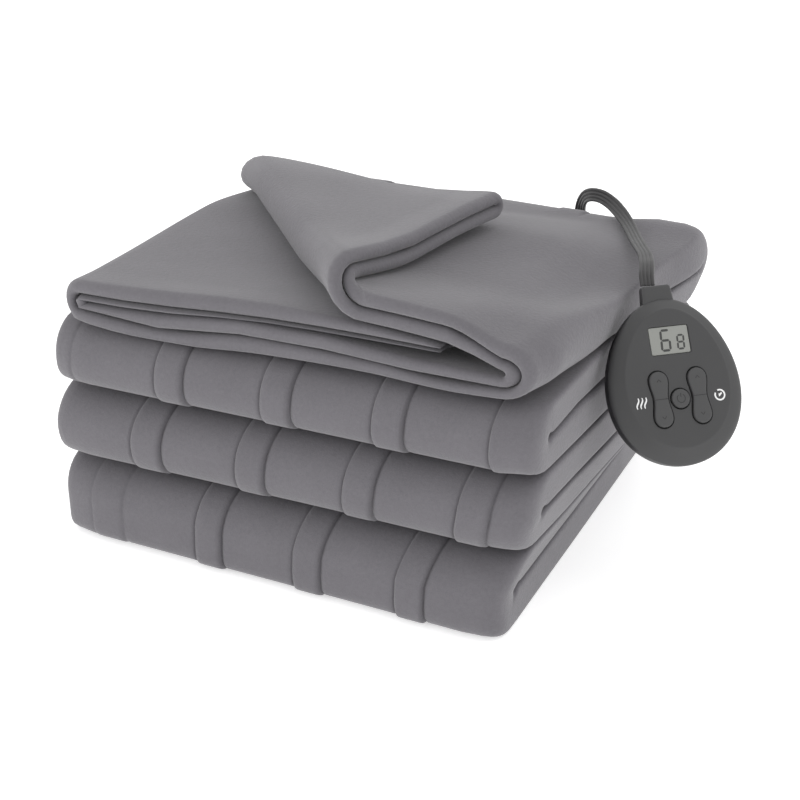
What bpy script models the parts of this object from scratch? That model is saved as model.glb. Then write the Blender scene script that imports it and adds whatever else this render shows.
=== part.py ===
"""Electric heated blanket, folded, with its hand controller and flat lead.

Units are metres, +Z is up, the floor is z = 0 and the origin lies under the middle of the
stack.  -Y is the front, where the rolled folds show, and +X is the side with the controller.

The blanket is one sheet.  It is halved across its width, so that it has an outer half A and
an inner half B joined along one edge.  The doubled sheet is folded in three like a letter,
which gives a section of six layers, and that section is folded back and forth seven times
along its length.  The free corner on top is turned back over a slanting crease.
"""
import math

import bmesh
import bpy
import numpy as np
from mathutils import Matrix, Vector

MM = 0.001

# ---------------------------------------------------------------- blanket, driving sizes
FRONT_NOSE = -157 * MM          # how far the rolled folds reach at the front
BACK_NOSE = 149 * MM            # and at the back
FRONT_END = -151 * MM           # the open end of the top section
BACK_END = 140 * MM             # the open end of the lowest section
HALF_WIDTH = 160 * MM           # half the width of a section before the rolls lean
LAYERS = 6
STRETCHES = 2 * LAYERS - 1      # layers and turns along one side of the folded strip
CLOTH_SHARE = 0.80              # part of a layer's pitch that is cloth, the rest is air
FOLD_CORE = 0.6 * MM            # radius left open inside each back-and-forth fold
FOLD_FULLNESS = 2.35            # 2 is a round fold, more is a squarer one
FREE_EDGE = 104 * MM            # where the letter fold's inner edges end
JOINED_INSET = 9 * MM           # the joined edge turns this far in from the left side

# Heights of the six-layer sections, from the top one down, at the front and at the back.
SECTIONS = (
    # name       front  back, mm
    ("top", 24.3, 24.3),
    ("second", 22.3, 24.3),
    ("third", 22.3, 23.8),
    ("fourth", 24.8, 23.8),
    ("fifth", 24.8, 24.8),
    ("sixth", 26.1, 24.8),
    ("lowest", 26.1, 24.6),
)

PLAIN = (0, 0, 0, 0, 0)         # no channel raised

# The rolled folds that show at the front, each made of two sections.
ROLLS = (
    # name    middle height, lean, width share, middle channel, raised channels from the left
    ("top", 190 * MM, 0 * MM, 1.010, -5 * MM, PLAIN),
    ("roll 3", 130 * MM, -1 * MM, 1.005, -7 * MM, (1, 1, 1, 1, 1)),
    ("roll 2", 80 * MM, -5 * MM, 1.010, -23 * MM, (0, 1, 1, 1, 1)),
    ("roll 1", 27 * MM, -11 * MM, 0.965, 14 * MM, (0, 1, 1, 1, 0)),
)
CHANNELS = (-2, -1, 0, 1, 2)
CHANNEL_PITCH = 74.5 * MM
CHANNEL_WIDTH = 23 * MM
CHANNEL_RAMP = 5 * MM
CHANNEL_RISE = 1.3 * MM
CROWD = 1.2 * MM                # channels that run off the side close up to this pitch
FLOOR_TRIM = 0.45 * MM          # the underside is flat where it lies on the floor

# How the folds wander, sink and round off at the stack's corners.
WANDER = 1.2 * MM
WANDER_ACROSS = 88 * MM
WANDER_UP = 24 * MM
SAG_SHARE = 0.008
SAG_PHASE = 1.9
CORNER_SHARE = 0.045
CORNER_FROM = 143 * MM
CORNER_DEPTH = 26 * MM

# The top section is loose at its open front end, where each layer ends in a thick hem.
# Heights over the roll below, in mm, at places across the stack, and once more behind the hem.
A_LOW, B_LOW, B_LEFT, A_LEFT, B_RIGHT, A_RIGHT = 0, 2, 4, 6, 8, 10
LOOSE_X = (-150, -90, -20, 50, 100, 135)
LOOSE = (
    # surface           -150   -90   -20    50   100   135  behind
    ("A low under", 0.7, -4.2, 0.4, 2.2, 1.0, 2.8, 0.6),
    ("A low over", 8.2, 4.6, 10.8, 10.3, 7.4, 9.6, 5.6),
    ("B low under", 8.7, 5.1, 11.3, 10.8, 7.9, 10.1, 6.4),
    ("B low over", 13.3, 15.1, 21.0, 20.4, 15.4, 17.0, 12.0),
    ("B left under", 14.6, 16.4, 22.2, 24.1, 25.0, 17.6, 13.2),
    ("B left over", 17.8, 19.4, 23.4, 25.3, 26.3, 17.9, 18.2),
    ("A left under", 18.4, 20.2, 24.1, 26.1, 27.0, 18.2, 19.4),
    ("A left over", 27.5, 30.0, 33.8, 32.6, 29.2, 18.5, 26.0),
    ("B right under", 28.3, 30.8, 34.6, 33.6, 31.0, 20.8, 27.2),
    ("B right over", 37.5, 40.0, 44.0, 42.6, 41.0, 27.6, 33.4),
    ("A right under", 38.0, 40.5, 44.5, 43.1, 41.5, 28.1, 34.4),
    ("A right over", 47.2, 49.7, 53.8, 52.2, 49.7, 38.0, 41.6),
)
# Turns of the top section: centres across the stack and how far the middle of A stands out.
TURNS = (
    # state       left  right  joined  free   out left  out right  out joined, mm
    ("front", -149, 135, -146, 98, 9.1, 15.5, 6.5),
    ("behind", -150, 140, -148, 102, 9.0, 18.0, 5.0),
)
TOP_CLOTH = {"front": (8.8, 8.8, 0.6), "behind": (5.0, 5.0, 0.9)}
HEM_DEPTH = 30 * MM             # how far the thick hem reaches in from the open end
DROOP = 3.7 * MM                # the lowest hem hangs this far over the roll below
DROOP_DEPTH = 9 * MM
LIFT_DEPTH = 85 * MM            # the layers' heights settle over this distance
LOOSE_END = -10 * MM            # where the top section starts to be even
LOFT = 0.6                      # the top section stands this share higher in its middle
LOFT_ALONG = (20 * MM, 124 * MM)        # and settles to the back fold between these
LOFT_ACROSS = (97 * MM, 140 * MM)       # and towards the right side between these
LAYER_AIR = 0.7 * MM
ROUNDED_END = ((0.0, 0.45), (2.4 * MM, 0.86), (7.0 * MM, 1.0))

# The turned-back corner.
CREASE_NEAR = (39 * MM, FRONT_END)
CREASE_FAR = (-149 * MM, 66 * MM)
CREASE_RADIUS = 9.6 * MM
CREASE_RADIUS_HEM = 9.5 * MM
FLAP_SETTLE = 105 * MM          # the flap lies down over this distance from its crease
FLAP_ARCH = 6 * MM              # its hem arches over the wing by this much
FLAP_ARCH_SPAN = 190 * MM
FLAP_ARCH_DEPTH = 90 * MM
FLAP_AIR = 0.7 * MM

# Stations along the sections and the folds, for the solid's faces.
TOP_STATIONS = (16, 30, 55, 90, 130, 172, 198, 216)
FRONT_FOLD_STEPS = 6
BACK_FOLD_STEPS = 4

# ---------------------------------------------------------------- controller and lead
CONTROL_MIDDLE = (203.5 * MM, -33.0 * MM, 136.0 * MM)
CONTROL_AZIMUTH = math.radians(42)      # the face looks this far round from the front
CONTROL_TILT = math.radians(32)         # and this far up
SHELL_HALF_WIDTH = 42.8 * MM
SHELL_HALF_HEIGHT = 51.8 * MM
SHELL_NARROWING = 0.10                  # the oval is narrower at its top
SHELL_DEPTH = 22 * MM
PLATEAU = (0.78, 0.83, 1.6 * MM)        # shares of width and height, and its shift upwards
SHELL_STEPS = 64
# The lower shell: share of the outline and depth.  The face: share of the way from the rim
# to the plateau, and depth.
BACK_PROFILE = (
    (0.62, 22.0 * MM),
    (0.78, 21.2 * MM),
    (0.93, 17.6 * MM),
    (0.99, 13.2 * MM),
    (1.00, 9.3 * MM),
)
FACE_PROFILE = (
    (0.0, 9.0 * MM),
    (0.005, 6.2 * MM),
    (0.12, 4.4 * MM),
    (0.55, 2.0 * MM),
    (0.90, 0.45 * MM),
    (1.10, 0.0),
)
TOUCH = 0.3 * MM
KEY_GAP = 0.5 * MM
KEY_RISE = 1.5 * MM
KEY_SINK = 2.6 * MM
# A key from its foot to its top: share of the outline and height.
KEY_PROFILE = ((1.0, -KEY_SINK), (1.0, 0.8 * MM), (0.965, 1.3 * MM), (0.90, KEY_RISE))
KEY_STEPS = 28
POWER_STEPS = 24
POCKET_SINK = 4.6 * MM
DISPLAY_MIDDLE = (-0.6 * MM, 25.1 * MM)
DISPLAY_SIZE = (25.4 * MM, 17.0 * MM)
DISPLAY_RECESS = 0.5 * MM
DISPLAY_THICK = 1.6 * MM
DISPLAY_CORNER = 1.0 * MM
CUTTER_REACH = 3 * MM           # how far a cutter stands out of the face
ROCKER_X = 12.6 * MM
ROCKER_Y = -10.6 * MM
ROCKER_LOBE = 6.0 * MM
ROCKER_REACH = 11.2 * MM
ROCKER_WAIST = 4.5 * MM
POWER_Y = -11.3 * MM
POWER_RADIUS = 5.9 * MM
GLAND_X = -1.5 * MM
GLAND_HALF_WIDTH = 9.6 * MM
GLAND_LENGTH = 8.5 * MM
GLAND_DEPTH = -8.5 * MM
GLAND_THICK = 7 * MM
GLAND_CORNER = 1.6 * MM
GLAND_FOOT = 4 * MM             # how far it reaches into the shells' outline
# The tab from its foot to its tip: distance before the tip and share of its section.
GLAND_PROFILE = ((GLAND_LENGTH + GLAND_FOOT, 1.08), (2.0 * MM, 1.0), (0.5 * MM, 0.96), (0.0, 0.9))

LEAD_WIDTH = 9.4 * MM
LEAD_THICK = 2.6 * MM
LEAD_STEP = 7 * MM              # spacing of the lead's rings
# Route of the lead's middle and the direction of its flat width, in mm.
LEAD_OVER = (
    # x      y      z     width x, y, z
    (172.8, -7.2, 183.5, 0.74, 0.67, 0.0),
    (171.2, -5.0, 187.3, 0.75, 0.66, 0.0),
    (167.6, 5.0, 190.6, 0.80, 0.60, 0.0),
    (160.5, 23.0, 190.4, 0.86, 0.51, 0.0),
    (147.5, 49.0, 187.2, 0.86, 0.51, 0.0),
    (137.3, 69.4, 184.2, 0.85, 0.53, 0.0),
    (128.2, 87.6, 182.4, 0.83, 0.55, 0.0),
    (117.9, 105.7, 181.9, 0.80, 0.58, 0.12),
    (107.6, 119.3, 183.5, 0.66, 0.60, 0.45),
    (98.0, 128.5, 185.6, 0.42, 0.52, 0.74),
    (89.0, 134.5, 186.8, 0.20, 0.42, 0.88),
    (80.5, 139.5, 185.6, -0.15, 0.46, 0.87),
    (72.6, 146.0, 181.0, -0.50, 0.50, 0.70),
    (67.4, 152.2, 172.5, -0.80, 0.40, 0.40),
    (65.6, 156.0, 160.0, -0.97, 0.10, 0.10),
    (65.6, 156.0, 145.0, -1.0, 0.0, 0.0),
    (66.0, 153.6, 125.0, -1.0, 0.0, 0.0),
    (66.0, 151.8, 100.0, -1.0, 0.0, 0.0),
    (66.0, 151.6, 75.0, -1.0, 0.0, 0.0),
    (66.0, 153.0, 50.0, -1.0, 0.0, 0.0),
    (66.0, 158.0, 29.0, -1.0, 0.0, 0.0),
    (66.0, 167.0, 12.5, -1.0, 0.0, 0.0),
    (66.0, 179.5, 4.4, -0.95, 0.0, 0.30),
    (66.0, 193.0, 4.8, -0.60, 0.0, 0.80),
    (66.0, 207.0, 5.4, -0.15, 0.0, 0.99),
    (65.8, 222.0, 5.5, 0.0, 0.0, 1.0),
)
LEAD_TAIL = (
    (-1.7, 275.2, 12.6, 0.10, 0.99, 0.0),
    (-14.0, 272.8, 13.2, 0.20, 0.98, 0.0),
    (-28.0, 268.8, 13.0, 0.25, 0.97, 0.0),
    (-42.0, 265.2, 11.6, 0.20, 0.98, 0.0),
    (-55.0, 262.8, 8.6, 0.12, 0.99, 0.0),
    (-68.0, 262.0, 6.7, 0.03, 1.0, 0.0),
)
COIL_MIDDLE = (7 * MM, 226 * MM)
COIL_RADIUS = 50 * MM           # of the middle turn
COIL_HALF_DEPTH = 7.5 * MM
COIL_LOW = 0.8 * MM
COIL_HIGH = 10.2 * MM
TIE_ANGLE = math.radians(215)
TIE_WIDTH = 12 * MM
TIE_THICK = 0.5 * MM
TIE_ROOM = 0.9 * MM
PLUG_SIZE = (31 * MM, 24 * MM, 13 * MM)
PLUG_END = (-68.4 * MM, 262.0 * MM, 6.7 * MM)
BLADE_SIZE = (1.6 * MM, 6.4 * MM)
BLADE_SPACING = 12.7 * MM
# Distance from the lead and share of the full section, for the plug and for a blade.
PLUG_PROFILE = ((0.0, 0.62), (5.0 * MM, 0.70), (13.0 * MM, 0.98), (29.5 * MM, 1.0), (31.0 * MM, 0.93))
PLUG_FLATTEN = 0.3              # the plug's thickness shrinks less than its width
PLUG_CORNER = 3.2 * MM
BLADE_PROFILE = ((0.0, 1.0), (14.0 * MM, 1.0), (16.0 * MM, 0.6))
BLADE_CORNER = 0.3 * MM
COIL_STEPS = 48


def mix(low, high, share):
    """A plain blend from low to high."""
    return low + (high - low) * share


def ease(value):
    """A smooth step: 0 below 0, 1 above 1, level at both ends."""
    t = np.clip(value, 0.0, 1.0)
    return t * t * (3.0 - 2.0 * t)


def clear_scene():
    """Remove whatever the file holds."""
    for thing in list(bpy.data.objects):
        bpy.data.objects.remove(thing, do_unlink=True)


def finish(name, colour, roughness, metallic=0.0):
    """One Principled material."""
    material = bpy.data.materials.new(name)
    material.use_nodes = True
    shader = material.node_tree.nodes["Principled BSDF"]
    shader.inputs["Base Color"].default_value = (*colour, 1.0)
    shader.inputs["Roughness"].default_value = roughness
    shader.inputs["Metallic"].default_value = metallic
    material.diffuse_color = (*colour, 1.0)
    return material


def object_from(name, work, material, smooth_angle=35.0):
    """Put a bmesh into the scene as one named object with outward faces."""
    bmesh.ops.recalc_face_normals(work, faces=work.faces)
    mesh = bpy.data.meshes.new(name)
    work.to_mesh(mesh)
    work.free()
    mesh.shade_smooth()
    mesh.set_sharp_from_angle(angle=math.radians(smooth_angle))
    mesh.materials.append(material)
    item = bpy.data.objects.new(name, mesh)
    bpy.context.collection.objects.link(item)
    return item


def loft_walls(work, rings):
    """Vertices and side faces through a row of rings of equal length; returns the vertices."""
    rings = np.asarray(rings, dtype=float)
    count, around = rings.shape[:2]
    verts = [work.verts.new(point) for point in rings.reshape(-1, 3)]
    for i in range(count - 1):
        low = i * around
        high = low + around
        for j in range(around):
            k = (j + 1) % around
            work.faces.new((verts[low + j], verts[low + k], verts[high + k], verts[high + j]))
    return verts[:around], verts[-around:]


def closed_loft(name, rings, material):
    """A closed solid through a row of rings of equal length, capped flat at both ends."""
    work = bmesh.new()
    first, last = loft_walls(work, rings)
    work.faces.new(list(reversed(first)))
    work.faces.new(last)
    return object_from(name, work, material)


def strip_cap(work, ring, along):
    """Close the end of a folded strip with a ladder of triangles between its two sides.

    along grows down the first side of the strip and shrinks back up the second one, so that
    points with like values face each other across the thickness.
    """
    turn = int(np.argmax(np.diff(along) <= 0.0)) + 1
    near, far = ring[:turn], ring[turn:][::-1]
    near_at, far_at = along[:turn], along[turn:][::-1]
    i = j = 0
    while i < len(near) - 1 or j < len(far) - 1:
        step_near = j == len(far) - 1 or (i < len(near) - 1 and near_at[i + 1] <= far_at[j + 1])
        if step_near:
            work.faces.new((near[i], near[i + 1], far[j]))
            i += 1
        else:
            work.faces.new((near[i], far[j + 1], far[j]))
            j += 1


# ---------------------------------------------------------------- the six-layer section
def even_levels(height):
    """Under and over heights of the six even layers of a section."""
    pitch = height / LAYERS
    levels = []
    for layer in range(LAYERS):
        low = (layer + (1.0 - CLOTH_SHARE) / 2.0) * pitch
        levels += [low, low + pitch * CLOTH_SHARE]
    return np.array(levels)


def even_turns(height):
    """Turn centres, reaches and cloth of an even section of the given height."""
    pitch = height / LAYERS
    cloth = pitch * CLOTH_SHARE
    ends = np.array((
        -HALF_WIDTH + 2.0 * pitch,
        HALF_WIDTH - 3.0 * pitch,
        -HALF_WIDTH + JOINED_INSET,
        FREE_EDGE,
    ))
    reach = np.array((2.0 * pitch - cloth / 2.0, 3.0 * pitch - cloth / 2.0, 0.62 * pitch))
    return ends, reach, np.tile((cloth, cloth, pitch - cloth), (3, 1))


def side(x_from, x_to, steps):
    """Evenly spaced places across the stack."""
    return np.linspace(x_from, x_to, steps + 1)


def channel_edges(middle, left, right, rise):
    """Places across the outer face and how far each is raised: one welt for each channel."""
    places = [left]
    raised = [0.0]
    for number, channel in enumerate(CHANNELS):
        centre = middle + channel * CHANNEL_PITCH
        for half, foot in ((-0.5, 1), (-0.5, 0), (0.5, 0), (0.5, 1)):
            slope = math.copysign(CHANNEL_RAMP, half) * (foot - 0.5)
            places.append(centre + half * CHANNEL_WIDTH + slope)
            raised.append((1 - foot) * rise[number] * CHANNEL_RISE)
    places.append(right)
    raised.append(0.0)
    inset = np.arange(len(places)) * CROWD
    places = np.maximum(places, left + inset)
    return np.minimum(places, right - inset[::-1]), np.array(raised)


def wing_places(right, joined, crease, bend, loose, fine):
    """Places across a layer of the right wing, close together where the crease bends it."""
    near = min(max(crease, joined + 14 * MM), right - 10 * MM)
    far = max(near - bend, joined + 5 * MM)
    shoulder = max(LOFT_ACROSS[0], (right + near) / 2.0)
    return np.concatenate((
        (right,),
        side(shoulder, near, loose),
        side(near, far, fine)[1:],
        side(far, joined, 2)[1:],
    ))


class Outline:
    """Points of the folded strip's closed outline, gathered stretch by stretch."""

    def __init__(self, levels):
        self.levels = levels
        self.x = []
        self.z = []
        self.wing = []
        self.along = []

    def add(self, x, z, wing):
        """One stretch; along counts the stretches down one side and back up the other."""
        done = len(self.x)
        self.x.append(x)
        self.z.append(z)
        self.wing.append(np.full(len(x), wing))
        share = (np.arange(len(x)) + 0.5) / len(x)
        down = done < STRETCHES
        self.along.append(done + share if down else 2 * STRETCHES - done - share)

    def flat(self, surface, places, wing=False, sink=0.0):
        """Points along one surface of a layer."""
        self.add(places, self.levels(surface, places) - sink, wing)

    def turn(self, x, first, last, reach, steps, wing=False):
        """The points between the ends of a half round from one surface to another."""
        start = self.levels(first, np.array([x]))[0]
        end = self.levels(last, np.array([x]))[0]
        angle = np.pi * np.arange(1, steps) / steps
        height = (start + end) / 2.0 - (end - start) / 2.0 * np.cos(angle)
        self.add(x + reach * np.sin(angle), height, wing)

    def arrays(self):
        """x, height, a mask of the right wing's points, and the distance along the strip."""
        return tuple(np.concatenate(part) for part in (self.x, self.z, self.wing, self.along))


def section_outline(levels, ends, reach, cloth, crease, bend, channel_middle, rise):
    """The closed outline of one section, along one side of the strip and back.

    levels(j, x) gives the height of surface j, where even numbers are undersides and odd ones
    upper sides, from the lowest layer up.  ends holds the centres of the left turn, the right
    turn and the joined edge, and the place of the free edge.  reach holds how far the middle
    of half A stands out at the first three.  cloth holds a row for each of them: the thickness
    of A, of B and of the air between them.
    """
    left, right, joined, free = ends
    out_left, out_right, out_joined = reach
    half_a, half_b = cloth[:, 0] / 2.0, cloth[:, 1] / 2.0
    in_left, in_right, _ = reach - half_a - cloth[:, 2] - half_b
    low_x, low_rise = channel_edges(channel_middle, left, right, rise)
    line = Outline(levels)
    line.flat(A_LEFT + 1, side(free, left, 2))
    line.turn(left, A_LEFT + 1, A_LOW, -(out_left + half_a[0]), 5)
    line.flat(A_LOW, low_x, sink=low_rise)
    line.turn(right, A_LOW, A_RIGHT + 1, out_right + half_a[1], 6)
    line.flat(A_RIGHT + 1, wing_places(right, joined, crease, bend, 2, 6), True)
    line.turn(joined, A_RIGHT + 1, B_RIGHT, -(out_joined + half_a[2]), 4, True)
    line.flat(B_RIGHT, wing_places(right, joined, crease, bend, 1, 6)[::-1], True)
    line.turn(right, B_RIGHT, B_LOW + 1, in_right - half_b[1], 4)
    line.flat(B_LOW + 1, side(right, left, 4))
    line.turn(left, B_LOW + 1, B_LEFT, -(in_left - half_b[0]), 3)
    line.flat(B_LEFT, side(left, free, 2))
    line.flat(B_LEFT + 1, side(free, left, 2))
    line.turn(left, B_LEFT + 1, B_LOW, -(in_left + half_b[0]), 4)
    line.flat(B_LOW, side(left, right, 4))
    line.turn(right, B_LOW, B_RIGHT + 1, in_right + half_b[1], 5)
    line.flat(B_RIGHT + 1, wing_places(right, joined, crease, bend, 1, 5), True)
    line.turn(joined, B_RIGHT + 1, A_RIGHT, -(out_joined - half_a[2]), 3, True)
    line.flat(A_RIGHT, wing_places(right, joined, crease, bend, 1, 5)[::-1], True)
    line.turn(right, A_RIGHT, A_LOW + 1, out_right - half_a[1], 5)
    line.flat(A_LOW + 1, side(right, left, 4))
    line.turn(left, A_LOW + 1, A_LEFT, -(out_left - half_a[0]), 4)
    line.flat(A_LEFT, side(left, free, 2))
    return line.arrays()


# ---------------------------------------------------------------- back and forth
def section_height(number, y):
    """Height of a section, numbered from the top, at a distance along it."""
    front, back = SECTIONS[number][1:]
    share = np.clip((y - FRONT_NOSE) / (BACK_NOSE - FRONT_NOSE), 0.0, 1.0)
    return mix(front, back, share) * MM


def section_base(number, y):
    """Height of a section's underside over the floor."""
    lower = range(number + 1, len(SECTIONS))
    return sum((section_height(k, y) + 2.0 * FOLD_CORE for k in lower), 0.0 * y)


def fold_centre(number):
    """Distance and height of the fold that joins a section to the next one below it."""
    at_back = number % 2 == 0
    edge = BACK_NOSE if at_back else FRONT_NOSE
    height = section_height(number, edge)
    reach = height + FOLD_CORE
    y = edge - reach if at_back else edge + reach
    return y, section_base(number, y) - FOLD_CORE, section_height(number, y)


def roll_of(number):
    """The row of ROLLS that a section belongs to."""
    return ROLLS[(number + 1) // 2]


def even_outline(number, height):
    """Outline of an even section."""
    levels = even_levels(height)
    ends, reach, cloth = even_turns(height)
    return section_outline(
        lambda surface, x: np.full(len(x), levels[surface]),
        ends, reach, cloth, CREASE_NEAR[0], math.pi * CREASE_RADIUS, roll_of(number)[4], PLAIN)


def loose_share(y, depth):
    """Shares of the front, the behind-the-hem and the even state, settling over a depth."""
    front = 1.0 - ease((y - FRONT_END) / depth)
    even = ease((y - FRONT_END - HEM_DEPTH / 2.0) / (LOOSE_END - FRONT_END))
    return front, (1.0 - front) * (1.0 - even), (1.0 - front) * even


def loft(x, y):
    """How high the even layers of the top section stand, as a share of their plain height."""
    along = 1.0 - ease((y - LOFT_ALONG[0]) / (LOFT_ALONG[1] - LOFT_ALONG[0]))
    across = 1.0 - ease((x - LOFT_ACROSS[0]) / (LOFT_ACROSS[1] - LOFT_ACROSS[0]))
    return 1.0 + LOFT * along * across


def loose_layers(x, y, rounding=1.0):
    """Under and over heights of the top section's six layers, one row each, at places x, y.

    A layer's thickness settles just behind its hem, its height further in, and each layer
    lies at least LAYER_AIR over the one below.  rounding thins the layers where their ends
    are rounded off.
    """
    x, y = np.broadcast_arrays(np.asarray(x, dtype=float), np.asarray(y, dtype=float))
    table = np.array([row[1:] for row in LOOSE]) * MM
    flat = even_levels(section_height(0, FRONT_END))
    places = np.array(LOOSE_X) * MM
    stands = loft(x, y)
    hem, hem_behind, hem_even = loose_share(y, HEM_DEPTH)
    lift, lift_behind, lift_even = loose_share(y, LIFT_DEPTH)
    hang = -DROOP * (1.0 - ease((y - FRONT_END) / DROOP_DEPTH)) + FOLD_CORE / 2.0
    under, over = [], []
    for layer in range(LAYERS):
        low, high = (np.interp(x, places, row[:-1]) for row in table[2 * layer:2 * layer + 2])
        behind = table[2 * layer:2 * layer + 2, -1]
        even = flat[2 * layer:2 * layer + 2]
        thick = (hem * (high - low) + hem_behind * (behind[1] - behind[0])
                 + hem_even * (even[1] - even[0]) * stands)
        middle = (lift * (high + low) + lift_behind * behind.sum()
                  + lift_even * even.sum() * stands) / 2.0
        bottom = np.maximum(middle - thick / 2.0, over[-1] + LAYER_AIR if over else hang)
        top = np.maximum(middle + thick / 2.0, bottom + thick * 0.72)
        under.append(bottom)
        over.append(top)
    under, over = np.array(under), np.array(over)
    slack = (over - under) * (1.0 - rounding) / 2.0
    return under + slack, over - slack


def loose_surface(surface, x, y, rounding=1.0):
    """Height of one surface of the top section."""
    return loose_layers(x, y, rounding)[surface % 2][surface // 2]


def loose_outline(y, rounding=1.0):
    """Outline of the top section at a distance along it."""
    hem, behind, even = loose_share(y, HEM_DEPTH)
    height = section_height(0, y)
    plain, high = even_turns(height), even_turns(height * loft(-HALF_WIDTH, y))
    on_right = np.array((0.0, 1.0, 0.0, 0.0))
    ends = mix(high[0], plain[0], on_right)
    reach = mix(high[1], plain[1], on_right[:3])
    cloth = mix(high[2], plain[2], on_right[:3, None])
    front, back = (np.array(row[1:]) * MM for row in TURNS)
    ends = hem * front[:4] + behind * back[:4] + even * ends
    reach = hem * front[4:] + behind * back[4:] + even * reach
    cloth = (hem * np.array(TOP_CLOTH["front"]) * MM
             + behind * np.array(TOP_CLOTH["behind"]) * MM + even * cloth)
    thinner = (1.0 - rounding) * cloth[:, :1]
    cloth = np.hstack((cloth[:, :2] * rounding, cloth[:, 2:] + thinner))
    bend = math.pi * crease_radius(y) / CREASE_ACROSS[0]
    return section_outline(
        lambda surface, x: loose_surface(surface, x, y, rounding),
        ends, reach, cloth, crease_place(y), bend, *ROLLS[0][4:])


# ---------------------------------------------------------------- the turned-back corner
CREASE_LENGTH = math.hypot(CREASE_FAR[0] - CREASE_NEAR[0], CREASE_FAR[1] - CREASE_NEAR[1])
# Unit direction across the crease, towards the corner.
CREASE_ACROSS = (
    (CREASE_FAR[1] - CREASE_NEAR[1]) / CREASE_LENGTH,
    (CREASE_NEAR[0] - CREASE_FAR[0]) / CREASE_LENGTH,
)


def crease_radius(y):
    """Radius of the bend's middle surface, wider where the hems go round."""
    return mix(CREASE_RADIUS, CREASE_RADIUS_HEM, 1.0 - ease((y - FRONT_END) / HEM_DEPTH))


def past_crease(x, y):
    """Distance past the line where the bend starts, towards the corner."""
    gone = (CREASE_NEAR[0] - x) * CREASE_ACROSS[0] + (CREASE_NEAR[1] - y) * CREASE_ACROSS[1]
    return gone + crease_radius(y)


def crease_place(y):
    """Where the bend starts across the stack, at a distance along it."""
    return (CREASE_NEAR[0] + ((CREASE_NEAR[1] - y) * CREASE_ACROSS[1] + crease_radius(y))
            / CREASE_ACROSS[0])


def wing_middle(x, y):
    """Height of the middle surface between the wing's two layers."""
    under, over = loose_layers(x, y)
    return (over[B_RIGHT // 2] + under[A_RIGHT // 2]) / 2.0


def turn_back(x, y, z):
    """Bend points of the right wing over the crease and lay them down on the wing.

    A point past the crease by s and h above the middle surface goes round a bend of radius r:
    it stands (r - h) sin(s / r) past the crease and r - (r - h) cos(s / r) up, and beyond the
    half turn it runs back over the wing.
    """
    past = past_crease(x, y)
    bent = past > 0.0
    if not bent.any():
        return x, y, z
    x, y, z = x.copy(), y.copy(), z.copy()
    s = past[bent]
    radius = crease_radius(y[bent])
    rise = z[bent] - wing_middle(x[bent], y[bent])
    angle = np.minimum(s / radius, np.pi)
    beyond = np.maximum(s - np.pi * radius, 0.0)
    out = (radius - rise) * np.sin(angle) - beyond
    along_x = x[bent] + (s - out) * CREASE_ACROSS[0]
    along_y = y[bent] + (s - out) * CREASE_ACROSS[1]
    below = wing_middle(along_x, along_y)
    top = loose_surface(A_RIGHT + 1, along_x, along_y)
    own = loose_surface(A_RIGHT + 1, x[bent], y[bent]) - wing_middle(x[bent], y[bent])
    lifted = below + radius - (radius - rise) * np.cos(angle)
    hem = 1.0 - ease((y[bent] - FRONT_END) / FLAP_ARCH_DEPTH)
    arch = FLAP_ARCH * hem * np.sin(np.pi * np.minimum(beyond / FLAP_ARCH_SPAN, 1.0))
    laid = top + FLAP_AIR + own - rise + arch
    settled = ease(beyond / FLAP_SETTLE)
    x[bent] = along_x
    y[bent] = along_y
    z[bent] = mix(lifted, laid, settled)
    return x, y, z


# ---------------------------------------------------------------- the whole blanket
def unevenness(points):
    """Lean and widen each roll, draw in the corners and let the folds wander a little."""
    x, y, z = points[..., 0], points[..., 1], points[..., 2]
    heights = [row[1] for row in reversed(ROLLS)]
    lean = np.interp(z, heights, [row[2] for row in reversed(ROLLS)])
    width = np.interp(z, heights, [row[3] for row in reversed(ROLLS)])
    far = np.clip(np.abs(y) / abs(FRONT_NOSE), 0.0, 1.1)
    wander = WANDER * np.sin(x / WANDER_ACROSS + z / WANDER_UP) * far ** 4
    corner = 1.0 - CORNER_SHARE * ease((np.abs(x) - CORNER_FROM) / CORNER_DEPTH)
    sag = 1.0 + SAG_SHARE * np.sin(x / WANDER_ACROSS + SAG_PHASE)
    height = np.maximum(z * sag - FLOOR_TRIM, 0.0)
    return np.stack((x * width + lean, y * corner + wander, height), axis=-1)


def flat_station(number, y, outline):
    """A ring of points on a section at a distance along it."""
    x, z, wing, _ = outline
    base = section_base(number, y)
    if number % 2:
        z = section_height(number, y) - z
    distance = np.full(len(x), y)
    if number == 0:
        bx, by, bz = turn_back(x[wing], distance[wing], z[wing])
        x, z = x.copy(), z.copy()
        x[wing], distance[wing], z[wing] = bx, by, bz
        base = section_base(number, distance)
    return np.stack((x, distance, base + z), axis=-1)


def fold_stations(number, steps):
    """Rings round the fold that joins a section to the next one below it.

    A point at radius r from the fold's core goes round a half super-ellipse, whose height and
    reach are both r.
    """
    y, z, height = fold_centre(number)
    at_back = number % 2 == 0
    power = 2.0 / FOLD_FULLNESS
    rings = []
    for step in range(1, steps):
        share = step / steps
        channel = mix(roll_of(number)[4], roll_of(number + 1)[4], share)
        levels = even_levels(height)
        ends, reach, cloth = even_turns(height)
        x, w, _, _ = section_outline(
            lambda surface, places: np.full(len(places), levels[surface]),
            ends, reach, cloth, CREASE_NEAR[0], math.pi * CREASE_RADIUS,
            channel, PLAIN if at_back else roll_of(number)[5])
        radius = FOLD_CORE + (w if at_back else height - w)
        angle = math.pi * share
        out = radius * abs(math.sin(angle)) ** power
        up = radius * math.copysign(abs(math.cos(angle)) ** power, math.cos(angle))
        distance = y + out if at_back else y - out
        rings.append(np.stack((x, distance, z + up), axis=-1))
    return rings


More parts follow.
